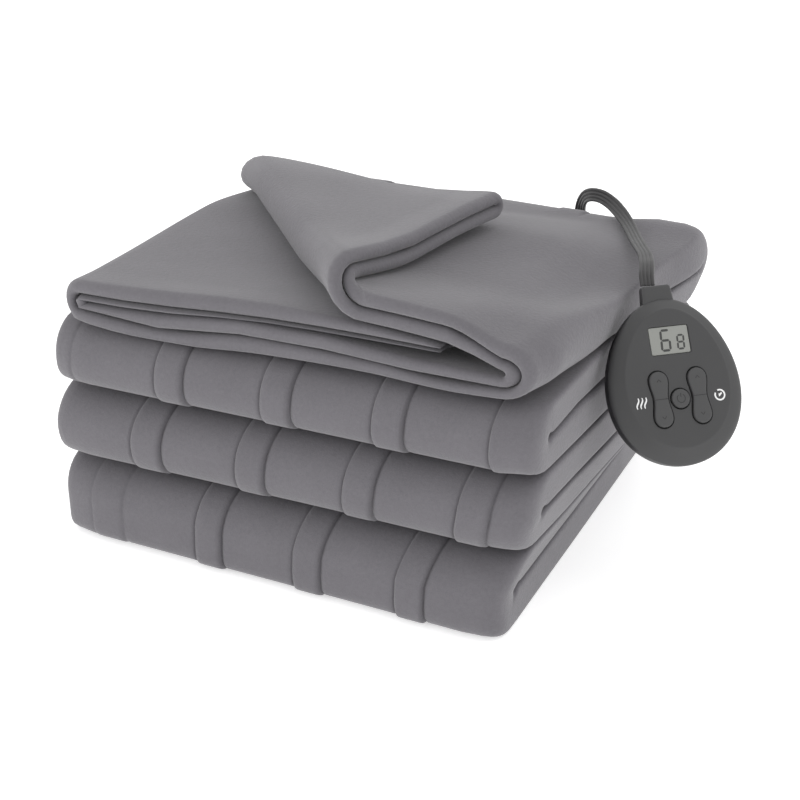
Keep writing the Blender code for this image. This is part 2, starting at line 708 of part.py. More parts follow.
def blanket_rings():
    """All rings of the blanket, from the open front end on top to the end at the bottom."""
    rings = []
    for inset, rounding in ROUNDED_END:
        y = FRONT_END + inset
        rings.append(flat_station(0, y, loose_outline(y, rounding)))
    for inset in TOP_STATIONS:
        y = FRONT_END + inset * MM
        rings.append(flat_station(0, y, loose_outline(y)))
    last = len(SECTIONS) - 1
    for number in range(last):
        y, _, height = fold_centre(number)
        if number:
            rings.append(flat_station(number, y, even_outline(number, height)))
        else:
            rings.append(flat_station(0, y, loose_outline(y)))
        rings += fold_stations(number, FRONT_FOLD_STEPS if number % 2 else BACK_FOLD_STEPS)
        rings.append(flat_station(number + 1, y, even_outline(number + 1, height)))
    end_outline = even_outline(last, section_height(last, BACK_END))
    rings.append(flat_station(last, BACK_END, end_outline))
    return unevenness(np.array(rings))


def build_blanket():
    """The whole folded blanket as one solid."""
    cloth = finish("grey_fleece", (0.21, 0.205, 0.22), 0.95)
    along = loose_outline(FRONT_END)[3]
    work = bmesh.new()
    first, last = loft_walls(work, blanket_rings())
    strip_cap(work, first, along)
    strip_cap(work, last, along)
    return object_from("blanket", work, cloth)


# ---------------------------------------------------------------- controller
def control_frame():
    """World matrix of the controller: X right, Y up towards the lead, Z out of the face."""
    out = Vector((
        math.sin(CONTROL_AZIMUTH) * math.cos(CONTROL_TILT),
        -math.cos(CONTROL_AZIMUTH) * math.cos(CONTROL_TILT),
        math.sin(CONTROL_TILT),
    ))
    across = Vector((math.cos(CONTROL_AZIMUTH), math.sin(CONTROL_AZIMUTH), 0.0))
    up = out.cross(across)
    turn = Matrix((across, up, out)).transposed().to_4x4()
    return Matrix.Translation(CONTROL_MIDDLE) @ turn


def oval(steps, grow=0.0):
    """The controller's outline: an oval that narrows towards its top."""
    angle = np.linspace(0.0, 2.0 * np.pi, steps, endpoint=False)
    x = (SHELL_HALF_WIDTH + grow) * np.cos(angle) * (1.0 - SHELL_NARROWING * np.sin(angle))
    y = (SHELL_HALF_HEIGHT + grow) * np.sin(angle)
    return np.stack((x, y), axis=1)


def plateau(steps):
    """The flat middle of the face: the same oval, smaller and a little higher."""
    return oval(steps) * PLATEAU[:2] + (0.0, PLATEAU[2])


def peanut(steps, grow=0.0):
    """A rocker's outline: two round lobes with a narrower waist."""
    angle = np.linspace(0.0, 2.0 * np.pi, steps, endpoint=False)
    reach = ROCKER_REACH
    y = (reach + ROCKER_LOBE + grow) * np.sin(angle)
    waist = mix(ROCKER_WAIST, ROCKER_LOBE, ease(np.abs(y) / reach)) + grow
    tip = np.maximum(np.abs(y) - reach, 0.0)
    lobe = np.sqrt(np.maximum((ROCKER_LOBE + grow) ** 2 - tip ** 2, 0.0))
    return np.stack((np.sign(np.cos(angle)) * np.where(tip > 0.0, lobe, waist), y), axis=1)


def round_outline(radius, steps):
    """A circle."""
    angle = np.linspace(0.0, 2.0 * np.pi, steps, endpoint=False)
    return np.stack((radius * np.cos(angle), radius * np.sin(angle)), axis=1)


def soft_box(width, height, corner, steps=3):
    """A rectangle with round corners."""
    points = []
    for number, (sx, sy) in enumerate(((1, 1), (-1, 1), (-1, -1), (1, -1))):
        for step in range(steps + 1):
            angle = math.pi / 2.0 * (number + step / steps)
            points.append((
                sx * (width / 2.0 - corner) + corner * math.cos(angle),
                sy * (height / 2.0 - corner) + corner * math.sin(angle),
            ))
    return np.array(points)


def stack_rings(levels):
    """Rings from pairs of an outline and its height."""
    return [np.column_stack((outline, np.full(len(outline), z))) for outline, z in levels]


def place(item, middle=(0.0, 0.0, 0.0)):
    """Set a controller piece at its place on the face."""
    item.matrix_world = control_frame() @ Matrix.Translation(middle)
    return item


def cut(target, name, levels, middle):
    """Cut a pocket through a closed cutter with an exact Boolean."""
    cutter = closed_loft(name, stack_rings(levels), target.data.materials[0])
    place(cutter, middle)
    cutter.hide_render = True
    cutter.display_type = "WIRE"
    change = target.modifiers.new(name, "BOOLEAN")
    change.operation = "DIFFERENCE"
    change.solver = "EXACT"
    change.object = cutter


def key(name, outline, middle, material):
    """A key that stands a little proud of the face, with a softened top edge."""
    levels = [(outline * share, height) for share, height in KEY_PROFILE]
    return place(closed_loft(name, stack_rings(levels), material), middle)


def build_controller():
    """Two shells, the display window, two rockers, the power key and the lead's gland."""
    black = finish("black_shell", (0.012, 0.012, 0.013), 0.45)
    dark = finish("dark_grey_face", (0.062, 0.062, 0.064), 0.5)
    glass = finish("display_window", (0.42, 0.43, 0.40), 0.2)
    soft_keys = finish("grey_keys", (0.072, 0.072, 0.074), 0.55)
    outer, flat = oval(SHELL_STEPS), plateau(SHELL_STEPS)
    place(closed_loft("controller_base", stack_rings([
        (outer * share, -depth) for share, depth in BACK_PROFILE]), black))
    face = closed_loft("controller_face", stack_rings([
        (mix(outer, flat, share), -depth) for share, depth in FACE_PROFILE]), dark)
    place(face)
    glass_cut = soft_box(DISPLAY_SIZE[0] + 2 * TOUCH, DISPLAY_SIZE[1] + 2 * TOUCH,
                         DISPLAY_CORNER + TOUCH)
    glass_floor = -DISPLAY_RECESS - DISPLAY_THICK - TOUCH
    cut(face, "display_pocket", ((glass_cut, glass_floor), (glass_cut, CUTTER_REACH)),
        (*DISPLAY_MIDDLE, 0.0))
    window = soft_box(*DISPLAY_SIZE, DISPLAY_CORNER)
    place(closed_loft("display_window", stack_rings((
        (window, -DISPLAY_RECESS - DISPLAY_THICK), (window, -DISPLAY_RECESS))), glass),
        (*DISPLAY_MIDDLE, 0.0))
    for name, x in (("left", -ROCKER_X), ("right", ROCKER_X)):
        hole = peanut(KEY_STEPS, KEY_GAP)
        cut(face, f"rocker_{name}_pocket", ((hole, -POCKET_SINK), (hole, CUTTER_REACH)),
            (x, ROCKER_Y, 0.0))
        key(f"rocker_{name}", peanut(KEY_STEPS), (x, ROCKER_Y, 0.0), soft_keys)
    hole = round_outline(POWER_RADIUS + KEY_GAP, POWER_STEPS)
    cut(face, "power_pocket", ((hole, -POCKET_SINK), (hole, CUTTER_REACH)),
        (0.0, POWER_Y, 0.0))
    key("power_key", round_outline(POWER_RADIUS, POWER_STEPS), (0.0, POWER_Y, 0.0), soft_keys)
    build_gland(dark)


def build_gland(material):
    """The tab at the top of the shells that the lead comes out of."""
    tip = SHELL_HALF_HEIGHT + GLAND_LENGTH
    rings = []
    for before, share in GLAND_PROFILE:
        outline = soft_box(2 * GLAND_HALF_WIDTH * share, GLAND_THICK * share, GLAND_CORNER, 2)
        away = np.full(len(outline), tip - before)
        rings.append(np.column_stack((outline[:, 0], away, outline[:, 1])))
    gland = closed_loft("lead_gland", rings, material)
    place(gland, (GLAND_X, 0.0, GLAND_DEPTH))
    shells = oval(SHELL_STEPS, TOUCH)
    cut(gland, "gland_seat", ((shells, -SHELL_DEPTH * 2), (shells, SHELL_DEPTH)), (0.0, 0.0, 0.0))


# ---------------------------------------------------------------- lead
def smooth_route(rows, step):
    """Points and width directions along a smooth curve through a route's rows.

    The curve is a cubic through the rows, with slopes over their chord lengths, read at even
    lengths.
    """
    rows = np.array(rows, dtype=float)
    rows[:, :3] *= MM
    gaps = np.linalg.norm(np.diff(rows[:, :3], axis=0), axis=1)
    at = np.concatenate(([0.0], np.cumsum(gaps)))
    slope = np.gradient(rows, at, axis=0)
    count = max(int(round(at[-1] / step)), 2)
    read = np.linspace(0.0, at[-1], count + 1)
    cell = np.clip(np.searchsorted(at, read, side="right") - 1, 0, len(gaps) - 1)
    t = ((read - at[cell]) / gaps[cell])[:, None]
    h = gaps[cell][:, None]
    blend = ((2 * t ** 3 - 3 * t ** 2 + 1) * rows[cell]
             + (t ** 3 - 2 * t ** 2 + t) * h * slope[cell]
             + (-2 * t ** 3 + 3 * t ** 2) * rows[cell + 1]
             + (t ** 3 - t ** 2) * h * slope[cell + 1])
    return blend[:, :3], blend[:, 3:]


def ribbon(name, rows, material):
    """A flat lead with softened edges, along a route."""
    middle, wide = smooth_route(rows, LEAD_STEP)
    ahead = np.gradient(middle, axis=0)
    ahead /= np.linalg.norm(ahead, axis=1)[:, None]
    wide = wide - (wide * ahead).sum(axis=1)[:, None] * ahead
    wide /= np.linalg.norm(wide, axis=1)[:, None]
    thin = np.cross(ahead, wide)
    w, t, c = LEAD_WIDTH / 2.0, LEAD_THICK / 2.0, LEAD_THICK * 0.28
    outline = ((w, -t + c), (w, t - c), (w - c, t), (-w + c, t),
               (-w, t - c), (-w, -t + c), (-w + c, -t), (w - c, -t))
    rings = [[m + u * a + v * b for a, b in outline] for m, u, v in zip(middle, wide, thin)]
    return closed_loft(name, rings, material)


def build_lead():
    """The flat lead over the stack, its coil with a tie, its tail and its plug."""
    jacket = finish("lead_jacket", (0.045, 0.045, 0.046), 0.5)
    ribbon("lead_over", LEAD_OVER, jacket)
    ribbon("lead_tail", LEAD_TAIL, jacket)
    half = COIL_HALF_DEPTH
    profile = ((-half, COIL_LOW), (half, COIL_LOW), (half, COIL_HIGH), (-half, COIL_HIGH))
    turned_ring("lead_coil", profile, COIL_STEPS, jacket)
    build_tie(finish("tie_strap", (0.02, 0.02, 0.02), 0.8))
    build_plug()


def turned_ring(name, profile, steps, material):
    """A ring turned round the coil's middle from a closed profile."""
    work = bmesh.new()
    loops = []
    for step in range(steps):
        angle = 2.0 * math.pi * step / steps
        loops.append([work.verts.new((
            COIL_MIDDLE[0] + (COIL_RADIUS + out) * math.cos(angle),
            COIL_MIDDLE[1] + (COIL_RADIUS + out) * math.sin(angle),
            z)) for out, z in profile])
    for step in range(steps):
        here, there = loops[step], loops[(step + 1) % steps]
        for j in range(len(profile)):
            k = (j + 1) % len(profile)
            work.faces.new((here[j], here[k], there[k], there[j]))
    return object_from(name, work, material)


def build_tie(material):
    """A flat strap round the coil's turns, wide enough for their curve."""
    inner = (COIL_HALF_DEPTH + TIE_ROOM, COIL_LOW - TOUCH, COIL_HIGH + TOUCH)
    outer = (inner[0] + TIE_THICK, inner[1] - TIE_THICK, inner[2] + TIE_THICK)
    work = bmesh.new()
    loops = []
    for end in (-0.5, 0.5):
        for reach, low, high in (inner, outer):
            corners = ((-reach, low), (reach, low), (reach, high), (-reach, high))
            loops.append([work.verts.new((COIL_RADIUS + x, end * TIE_WIDTH, z))
                          for x, z in corners])
    for a, b in ((0, 1), (1, 3), (3, 2), (2, 0)):
        for j in range(4):
            k = (j + 1) % 4
            work.faces.new((loops[a][j], loops[a][k], loops[b][k], loops[b][j]))
    tie = object_from("coil_tie", work, material)
    tie.matrix_world = (Matrix.Translation((*COIL_MIDDLE, 0.0))
                        @ Matrix.Rotation(TIE_ANGLE, 4, "Z"))
    return tie


def build_plug():
    """A two-blade plug at the end of the tail."""
    long, wide, thick = PLUG_SIZE
    rings = []
    for x, share in PLUG_PROFILE:
        outline = soft_box(wide * share, thick * mix(share, 1.0, PLUG_FLATTEN),
                           PLUG_CORNER * share)
        rings.append(np.column_stack((np.full(len(outline), -x), outline)))
    body = closed_loft("plug_body", rings, finish("plug_body", (0.02, 0.02, 0.021), 0.5))
    body.location = PLUG_END
    metal = finish("plug_blades", (0.75, 0.73, 0.68), 0.3, 1.0)
    for name, step in (("near", -0.5), ("far", 0.5)):
        rings = []
        for x, share in BLADE_PROFILE:
            outline = soft_box(BLADE_SIZE[0] * share, BLADE_SIZE[1] * share, BLADE_CORNER, 1)
            rings.append(np.column_stack((np.full(len(outline), -x), outline)))
        blade = closed_loft(f"plug_blade_{name}", rings, metal)
        blade.location = (PLUG_END[0] - long - TOUCH, PLUG_END[1] + step * BLADE_SPACING,
                          PLUG_END[2])


def main():
    clear_scene()
    build_blanket()
    build_controller()
    build_lead()


main()
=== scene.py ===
import math

import bpy
import numpy as np
from bpy.props import FloatProperty, FloatVectorProperty, IntProperty, PointerProperty
from mathutils import Matrix, Vector


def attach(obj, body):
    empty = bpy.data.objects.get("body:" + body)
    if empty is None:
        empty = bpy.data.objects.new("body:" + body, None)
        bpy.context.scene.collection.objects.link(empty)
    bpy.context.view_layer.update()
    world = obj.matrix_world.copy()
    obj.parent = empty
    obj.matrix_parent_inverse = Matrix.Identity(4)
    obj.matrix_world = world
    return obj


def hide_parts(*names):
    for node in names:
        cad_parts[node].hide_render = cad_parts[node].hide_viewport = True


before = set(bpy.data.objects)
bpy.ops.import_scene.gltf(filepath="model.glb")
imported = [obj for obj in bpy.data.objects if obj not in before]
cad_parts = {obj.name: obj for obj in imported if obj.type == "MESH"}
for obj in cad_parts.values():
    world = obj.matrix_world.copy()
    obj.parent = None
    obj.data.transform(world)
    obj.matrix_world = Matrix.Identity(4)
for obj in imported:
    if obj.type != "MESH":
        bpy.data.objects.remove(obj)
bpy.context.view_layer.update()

bl_info = {
    "name": "Heated Blanket",
    "version": (1, 0, 0),
    "blender": (4, 5, 0),
    "location": "3D View > Sidebar > Heated Blanket",
    "description": "A folded fleece heated blanket with its hand controller and flat lead",
    "category": "Object",
}

# Units are metres, +Z is up and -Y is the front, where the rolled folds show.
MM = 0.001
ROOT = "root"


# ---------------------------------------------------------------- plain shape maths
def mix(low, high, share):
    """low + (high - low) * share."""
    return low + (high - low) * share


def ease(value):
    """Smooth step: 0 below 0, 3t^2 - 2t^3 between 0 and 1, and 1 above 1."""
    t = np.clip(value, 0.0, 1.0)
    return t * t * (3.0 - 2.0 * t)


def bell(value):
    """A bump of height 1 at 0: exp(-value^2)."""
    return np.exp(-np.square(value))


def curve_through(rows, count, at=None):
    """Cubic Hermite curve through the rows of a table, read at count + 1 even places.

    The slope at a row is the centred difference over the chord lengths of the first columns.
    """
    rows = np.array(rows, dtype=float)
    if at is None:
        gaps = np.linalg.norm(np.diff(rows[:, :3], axis=0), axis=1)
        at = np.concatenate(([0.0], np.cumsum(gaps)))
    gaps = np.diff(at)
    slope = np.gradient(rows, at, axis=0)
    read = np.linspace(0.0, at[-1], count + 1)
    cell = np.clip(np.searchsorted(at, read, side="right") - 1, 0, len(gaps) - 1)
    t = ((read - at[cell]) / gaps[cell])[:, None]
    h = gaps[cell][:, None]
    return ((2 * t ** 3 - 3 * t ** 2 + 1) * rows[cell] + (t ** 3 - 2 * t ** 2 + t) * h * slope[cell]
            + (-2 * t ** 3 + 3 * t ** 2) * rows[cell + 1] + (t ** 3 - t ** 2) * h * slope[cell + 1])


# ---------------------------------------------------------------- meshes
def grid_faces(count, around, looped=False):
    """Quads between count rings of around points: (i, j), (i, j+1), (i+1, j+1), (i+1, j)."""
    rows = count if looped else count - 1
    i = np.arange(rows)[:, None]
    j = np.arange(around)[None, :]
    low, high = i * around, ((i + 1) % count) * around
    k = (j + 1) % around
    return np.stack((low + j, low + k, high + k, high + j), axis=-1).reshape(-1, 4)


def ladder_cap(around, start, flip):
    """Quads that close a folded strip's end: point j faces point around - 1 - j."""
    j = np.arange(around // 2 - 1)
    cap = np.stack((j, j + 1, around - 2 - j, around - 1 - j), axis=-1) + start
    return cap[:, ::-1] if flip else cap


def add_piece(name, parts, material, body=ROOT, replaces=(), sharp=32.0):
    """One object from parts, each a pair of points and faces; it rides on a body."""
    points, faces, done = [], [], 0
    for part_points, part_faces in parts:
        points.append(np.asarray(part_points, dtype=float).reshape(-1, 3))
        faces += [[int(v) + done for v in face] for face in part_faces]
        done += len(points[-1])
    mesh = bpy.data.meshes.new(name)
    mesh.from_pydata(np.concatenate(points).tolist(), [], faces)
    mesh.validate()
    piece = bpy.data.objects.new(name, mesh)
    bpy.context.collection.objects.link(piece)
    mesh.shade_smooth()
    mesh.set_sharp_from_angle(angle=math.radians(sharp))
    mesh.materials.append(material)
    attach(piece, body)
    if replaces:
        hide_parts(*replaces)
    return piece


def loft(rings, looped=False):
    """A surface through rings of equal length, with flat ends unless it is looped.

    Six times its volume, summed over triangles seen from its middle, says which way it faces,
    and it is turned to face out.
    """
    rings = np.asarray(rings, dtype=float)
    count, around = rings.shape[:2]
    faces = grid_faces(count, around, looped)
    points = rings.reshape(-1, 3)
    heart = points.mean(axis=0)
    a, b, c, d = (points[faces[:, k]] - heart for k in range(4))
    volume = (a * np.cross(b, c)).sum() + (a * np.cross(c, d)).sum()
    faces = faces.tolist()
    if not looped:
        first = list(range(around))[::-1]
        last = list(range((count - 1) * around, count * around))
        faces += [first, last]
        for ring in (rings[0][::-1] - heart, rings[-1] - heart):
            volume += (ring.mean(axis=0) * np.cross(ring, np.roll(ring, -1, axis=0))).sum()
    if volume < 0.0:
        faces = [face[::-1] for face in faces]
    return points, faces


def swept(middle, wide, thin, outline):
    """A loft of the rings middle + wide * a + thin * b, for each outline point (a, b)."""
    return loft(middle[:, None, :] + wide[:, None, :] * outline[None, :, :1]
                + thin[:, None, :] * outline[None, :, 1:])


def side_ways(middle, wide):
    """Unit width and thickness directions square to a path."""
    ahead = np.gradient(middle, axis=0)
    ahead /= np.linalg.norm(ahead, axis=1)[:, None]
    wide = wide - (wide * ahead).sum(axis=1)[:, None] * ahead
    wide /= np.linalg.norm(wide, axis=1)[:, None]
    return wide, np.cross(ahead, wide)


def circle(radius, steps, start=0.0, turn=2.0 * math.pi, closed=False):
    """Points radius * (cos a, sin a) over the angle turn."""
    angle = start + np.linspace(0.0, turn, steps, endpoint=closed)
    return np.stack((radius * np.cos(angle), radius * np.sin(angle)), axis=1)


def soft_box(width, height, corner, steps=6):
    """A rectangle whose corners are quarter circles of the radius corner."""
    angle = (np.pi / 2.0) * np.add.outer(np.arange(4), np.linspace(0.0, 1.0, steps + 1))
    sx = np.array((1, -1, -1, 1))[:, None]
    sy = np.array((1, 1, -1, -1))[:, None]
    x = sx * (width / 2.0 - corner) + corner * np.cos(angle)
    y = sy * (height / 2.0 - corner) + corner * np.sin(angle)
    return np.stack((x.ravel(), y.ravel()), axis=1)


def stack_rings(levels):
    """Rings from pairs of a flat outline and its height."""
    return [np.column_stack((outline, np.full(len(outline), z))) for outline, z in levels]


# ---------------------------------------------------------------- shader maths
class Wire:
    """A number socket; sums, differences, products and quotients of wires are Math nodes."""

    def __init__(self, finish, socket):
        self.finish = finish
        self.socket = socket

    def maths(self, operation, *values):
        return self.finish.node("ShaderNodeMath", {"operation": operation}, *values)

    def __add__(self, other):
        return self.maths("ADD", self, other)

    def __radd__(self, other):
        return self.maths("ADD", other, self)

    def __sub__(self, other):
        return self.maths("SUBTRACT", self, other)

    def __rsub__(self, other):
        return self.maths("SUBTRACT", other, self)

    def __mul__(self, other):
        return self.maths("MULTIPLY", self, other)

    def __rmul__(self, other):
        return self.maths("MULTIPLY", other, self)

    def __truediv__(self, other):
        return self.maths("DIVIDE", self, other)


class Finish:
    """A material's node tree, written as expressions."""

    def __init__(self, name, roughness=0.5, **constants):
        self.material = bpy.data.materials.new(name)
        self.material.use_nodes = True
        self.tree = self.material.node_tree
        self.shader = self.tree.nodes["Principled BSDF"]
        self.shader.inputs["Roughness"].default_value = roughness
        for socket, value in constants.items():
            self.shader.inputs[socket.replace("_", " ")].default_value = value
        self.place = self.node("ShaderNodeTexCoord", {}, output="Object")

    def node(self, kind, settings, *values, output=0, sockets=None, **named):
        """Any node: its settings, then its sockets by place or by name; returns one output."""
        made = self.tree.nodes.new(kind)
        for key, value in settings.items():
            setattr(made, key, value)
        pairs = list(enumerate(values)) + [(key.replace("_", " "), v) for key, v in named.items()]
        pairs += list((sockets or {}).items())
        for key, value in pairs:
            if isinstance(value, Wire):
                self.tree.links.new(value.socket, made.inputs[key])
            else:
                made.inputs[key].default_value = value
        return Wire(self, made.outputs[output])

    def noise(self, scale, detail=2.0, stretch=(1.0, 1.0, 1.0)):
        """Noise with cells of about 1 / scale metres, from 0 to 1."""
        at = self.node("ShaderNodeMapping", {}, Vector=self.place, Scale=stretch)
        return self.node("ShaderNodeTexNoise", {}, Vector=at, Scale=scale, Detail=detail)

    def between(self, low, high, low_out=0.0, high_out=1.0, value=None):
        """Rescale a wire from low..high to low_out..high_out, clamped."""
        return self.node("ShaderNodeMapRange", {}, value, low, high, low_out, high_out)

    def colours(self, share, first, second):
        """A blend of two colours."""
        ends = [end if isinstance(end, Wire) else (*end, 1.0) for end in (first, second)]
        return self.node("ShaderNodeMix", {"data_type": "RGBA"}, sockets={0: share, 6: ends[0],
                                                                          7: ends[1]}, output=2)

    def feed(self, **wires):
        """Join wires to the shader's sockets."""
        for name, wire in wires.items():
            self.tree.links.new(wire.socket, self.shader.inputs[name.replace("_", " ")])
        return self.material

    def relief(self, height, depth, strength=1.0):
        """A Bump node over a height wire."""
        return self.node("ShaderNodeBump", {}, Strength=strength, Distance=depth, Height=height)


def shade(colour, factor):
    """A colour made lighter or darker."""
    return tuple(min(channel * factor, 1.0) for channel in colour)


def fleece_finish(colour):
    """Short brushed pile: fine specks, soft clouds where the pile lies another way, a light sheen, and
    painted shade in the seam grooves.
    """
    f = Finish("grey_fleece", roughness=0.95, Sheen_Weight=0.30, Sheen_Roughness=0.45,
               Specular_IOR_Level=0.18)
    specks = f.noise(1500.0, 3.0)
    pile = f.noise(420.0, 2.0)
    clouds = f.noise(34.0, 3.0, (1.0, 1.0, 1.6))
    # Painted shade: the seam attribute is each point's depth in a seam groove, and it darkens the
    # fleece colour there.
    seam = f.node("ShaderNodeAttribute", {"attribute_name": "seam"}, output=2)
    share = f.between(0.30, 0.70, value=specks * 0.50 + pile * 0.28 + clouds * 0.22)
    pile_colour = f.colours(share, shade(colour, 0.86), shade(colour, 1.12))
    bump = f.relief(specks * 0.6 + pile * 0.9, 0.0006, 0.5)
    # The base colour blends towards 0.4 of the fleece colour in the seam grooves, as painted shade.
    return f.feed(Base_Color=f.colours(seam * 0.35, pile_colour, shade(colour, 0.4)), Normal=bump)


def moulded_finish(name, colour, roughness, grain=0.000045, cells=3200.0):
    """Moulded plastic: a fine spark-eroded grain, faint clouds and handling marks in the gloss."""
    f = Finish(name, roughness=roughness)
    grain_cells = f.noise(cells, 2.0)
    clouds = f.noise(45.0, 3.0)
    marks = f.noise(160.0, 4.0, (1.0, 0.35, 1.0))
    gloss = roughness - 0.05 + clouds * 0.06 + marks * 0.06
    colours = f.colours(clouds * 0.5 + grain_cells * 0.5, shade(colour, 0.9), shade(colour, 1.1))
    return f.feed(Base_Color=colours, Roughness=gloss, Normal=f.relief(grain_cells, grain, 0.6))


def panel_finish(colour):
    """A liquid crystal panel under clear cover: pale grey with a faint reflector grain."""
    f = Finish("display_panel", roughness=0.32, Coat_Weight=0.35, Coat_Roughness=0.08)
    grain = f.noise(5200.0, 1.0)
    clouds = f.noise(70.0, 2.0)
    return f.feed(Base_Color=f.colours(grain * 0.5 + clouds * 0.5, shade(colour, 0.90),
                                       shade(colour, 1.10)))


def rubber_finish(name, colour, roughness):
    """Flexible jacket: satin, with drawn streaks too fine to see and dust in its gloss."""
    f = Finish(name, roughness=roughness, Specular_IOR_Level=0.45)
    fine = f.noise(2600.0, 2.0)
    dust = f.noise(220.0, 3.0)
    return f.feed(Base_Color=f.colours(dust, shade(colour, 0.86), shade(colour, 1.16)),
                  Roughness=roughness - 0.06 + dust * 0.14, Normal=f.relief(fine, 0.00004, 0.5))


def plated_finish(colour):
    """Bright plate with fine draw marks along X and rubbed patches."""
    f = Finish("plug_blades", roughness=0.3, Metallic=1.0)
    draws = f.noise(900.0, 3.0, (0.04, 1.0, 1.0))
    rubs = f.noise(260.0, 3.0)
    return f.feed(Base_Color=f.colours(rubs, shade(colour, 0.9), colour),
                  Roughness=0.18 + draws * 0.16 + rubs * 0.08,
                  Normal=f.relief(draws, 0.00002, 0.5))


def woven_finish(colour):
    """A woven strap: ridges across it, from sine bands on both diagonals."""
    f = Finish("tie_strap", roughness=0.85, Sheen_Weight=0.2, Sheen_Roughness=0.5)
    bands = [f.node("ShaderNodeTexWave", {"bands_direction": "DIAGONAL"}, Scale=900.0,
                    Vector=f.node("ShaderNodeMapping", {}, Vector=f.place,
                                  Rotation=(0.0, 0.0, turn)))
             for turn in (0.4, 2.0)]
    weave = bands[0] * bands[1]
    return f.feed(Base_Color=f.colours(weave, shade(colour, 0.7), shade(colour, 1.5)),
                  Normal=f.relief(weave, 0.0002, 0.7))


def plain_finish(name, colour, roughness, speck=900.0):
    """Even paint, with a faint mottle."""
    f = Finish(name, roughness=roughness)
    mottle = f.noise(speck, 2.0)
    return f.feed(Base_Color=f.colours(mottle, shade(colour, 0.95), shade(colour, 1.04)),
                  Roughness=roughness - 0.04 + mottle * 0.08)


# ---------------------------------------------------------------- what a user would change
def colour_property(name, description, default):
    """A colour that a user can pick."""
    return FloatVectorProperty(name=name, description=description, default=default, subtype="COLOR",
                               size=3, min=0.0, max=1.0)


class StudioSettings(bpy.types.PropertyGroup):
    """The camera, the floor and the lights."""
    lens: FloatProperty(name="Lens", description="Focal length", default=90.0, unit="CAMERA")
    azimuth: FloatProperty(name="Azimuth", description="How far round from the front it stands",
                           default=math.radians(26.0), subtype="ANGLE")
    elevation: FloatProperty(name="Elevation", description="How far up it stands",
                             default=math.radians(24.0), subtype="ANGLE")
    distance: FloatProperty(name="Distance", description="From the camera to the target",
                            default=1.35, unit="LENGTH")
    target_height: FloatProperty(name="Target height", description="Height that it looks at",
                                 default=0.07, unit="LENGTH")
    sky: FloatProperty(name="Surround", description="Strength of the white surround", default=1.0)
    floor_glow: FloatProperty(name="Floor glow", description="Light that the white floor adds",
                              default=0.50)
    key: FloatProperty(name="Key light", description="Power of the large light", default=9.0,
                       unit="POWER")


class BlanketSettings(bpy.types.PropertyGroup):
    """The cloth."""
    colour: colour_property("Fleece", "Colour of the pile", (0.143, 0.137, 0.149))
    seam_depth: FloatProperty(name="Seam depth", description="Depth of the wire channels' seams",
                              default=1.5 * MM, unit="LENGTH")
    channel_rise: FloatProperty(name="Channel rise", description="How far a channel stands out",
                                default=1.3 * MM, unit="LENGTH")
    flat_width: FloatProperty(name="Cut width", description="Width of the sheet laid flat",
                              default=1.829, unit="LENGTH")
    flat_length: FloatProperty(name="Cut length", description="Length of the sheet laid flat",
                               default=2.134, unit="LENGTH")


class ControlSettings(bpy.types.PropertyGroup):
    """The hand controller."""
    face: colour_property("Face", "Colour of the upper shell", (0.042, 0.042, 0.043))
    shell: colour_property("Shell", "Colour of the lower shell", (0.010, 0.010, 0.011))
    keys: colour_property("Keys", "Colour of the keys", (0.052, 0.052, 0.053))
    panel: colour_property("Display", "Colour of the display", (0.24, 0.245, 0.228))
    print_colour: colour_property("Print", "Colour of the icons", (0.80, 0.80, 0.80))


class LeadSettings(bpy.types.PropertyGroup):
    """The flat lead, its coil and its plug."""
    colour: colour_property("Jacket", "Colour of the lead", (0.040, 0.039, 0.040))
    plug: colour_property("Plug", "Colour of the plug", (0.020, 0.020, 0.021))
    width: FloatProperty(name="Width", description="Across the flat lead", default=9.4 * MM,
                         unit="LENGTH")
    thickness: FloatProperty(name="Thickness", description="Over a rib", default=2.6 * MM,
                             unit="LENGTH")
    turns: IntProperty(name="Turns", description="Turns in the coil", default=4)


def settings(group):
    """A group of settings on the scene."""
    return getattr(bpy.context.scene, f"heated_blanket_{group}")


# ---------------------------------------------------------------- blanket tables
FRONT_NOSE = -157 * MM          # how far the rolled folds reach at the front
BACK_NOSE = 149 * MM
FRONT_END = -151 * MM           # the open end of the top section
BACK_END = 140 * MM             # the open end of the lowest one
HALF_WIDTH = 160 * MM
LAYERS = 6
CLOTH_SHARE = 0.80
FOLD_CORE = 0.6 * MM
FOLD_FULLNESS = 2.05
FOLD_FULLNESS_LOW = 2.35        # below the nose
FOLD_FULLNESS_FLOOR = 5.0       # and where the lowest fold is pressed on the floor
FOLD_REACH = 1.28               # how far a fold stands out, as a share of its height
TURN_FULLNESS = 8.0             # of the sections' side turns; 2 is a half round
TURN_ROUND = 0.8                # their power where a fold reaches furthest out; 1 is a half round
FREE_EDGE = 104 * MM
JOINED_INSET = 9 * MM
JOINED_REACH = 0.62             # of the joined turn, as a share of a layer's pitch
# Heights of the six-layer sections, from the top one down, at the front and at the back, mm.
SECTIONS = ((24.3, 24.3), (22.3, 24.3), (22.3, 23.8), (24.8, 23.8), (24.8, 24.8), (26.1, 24.8),
            (26.1, 24.6))
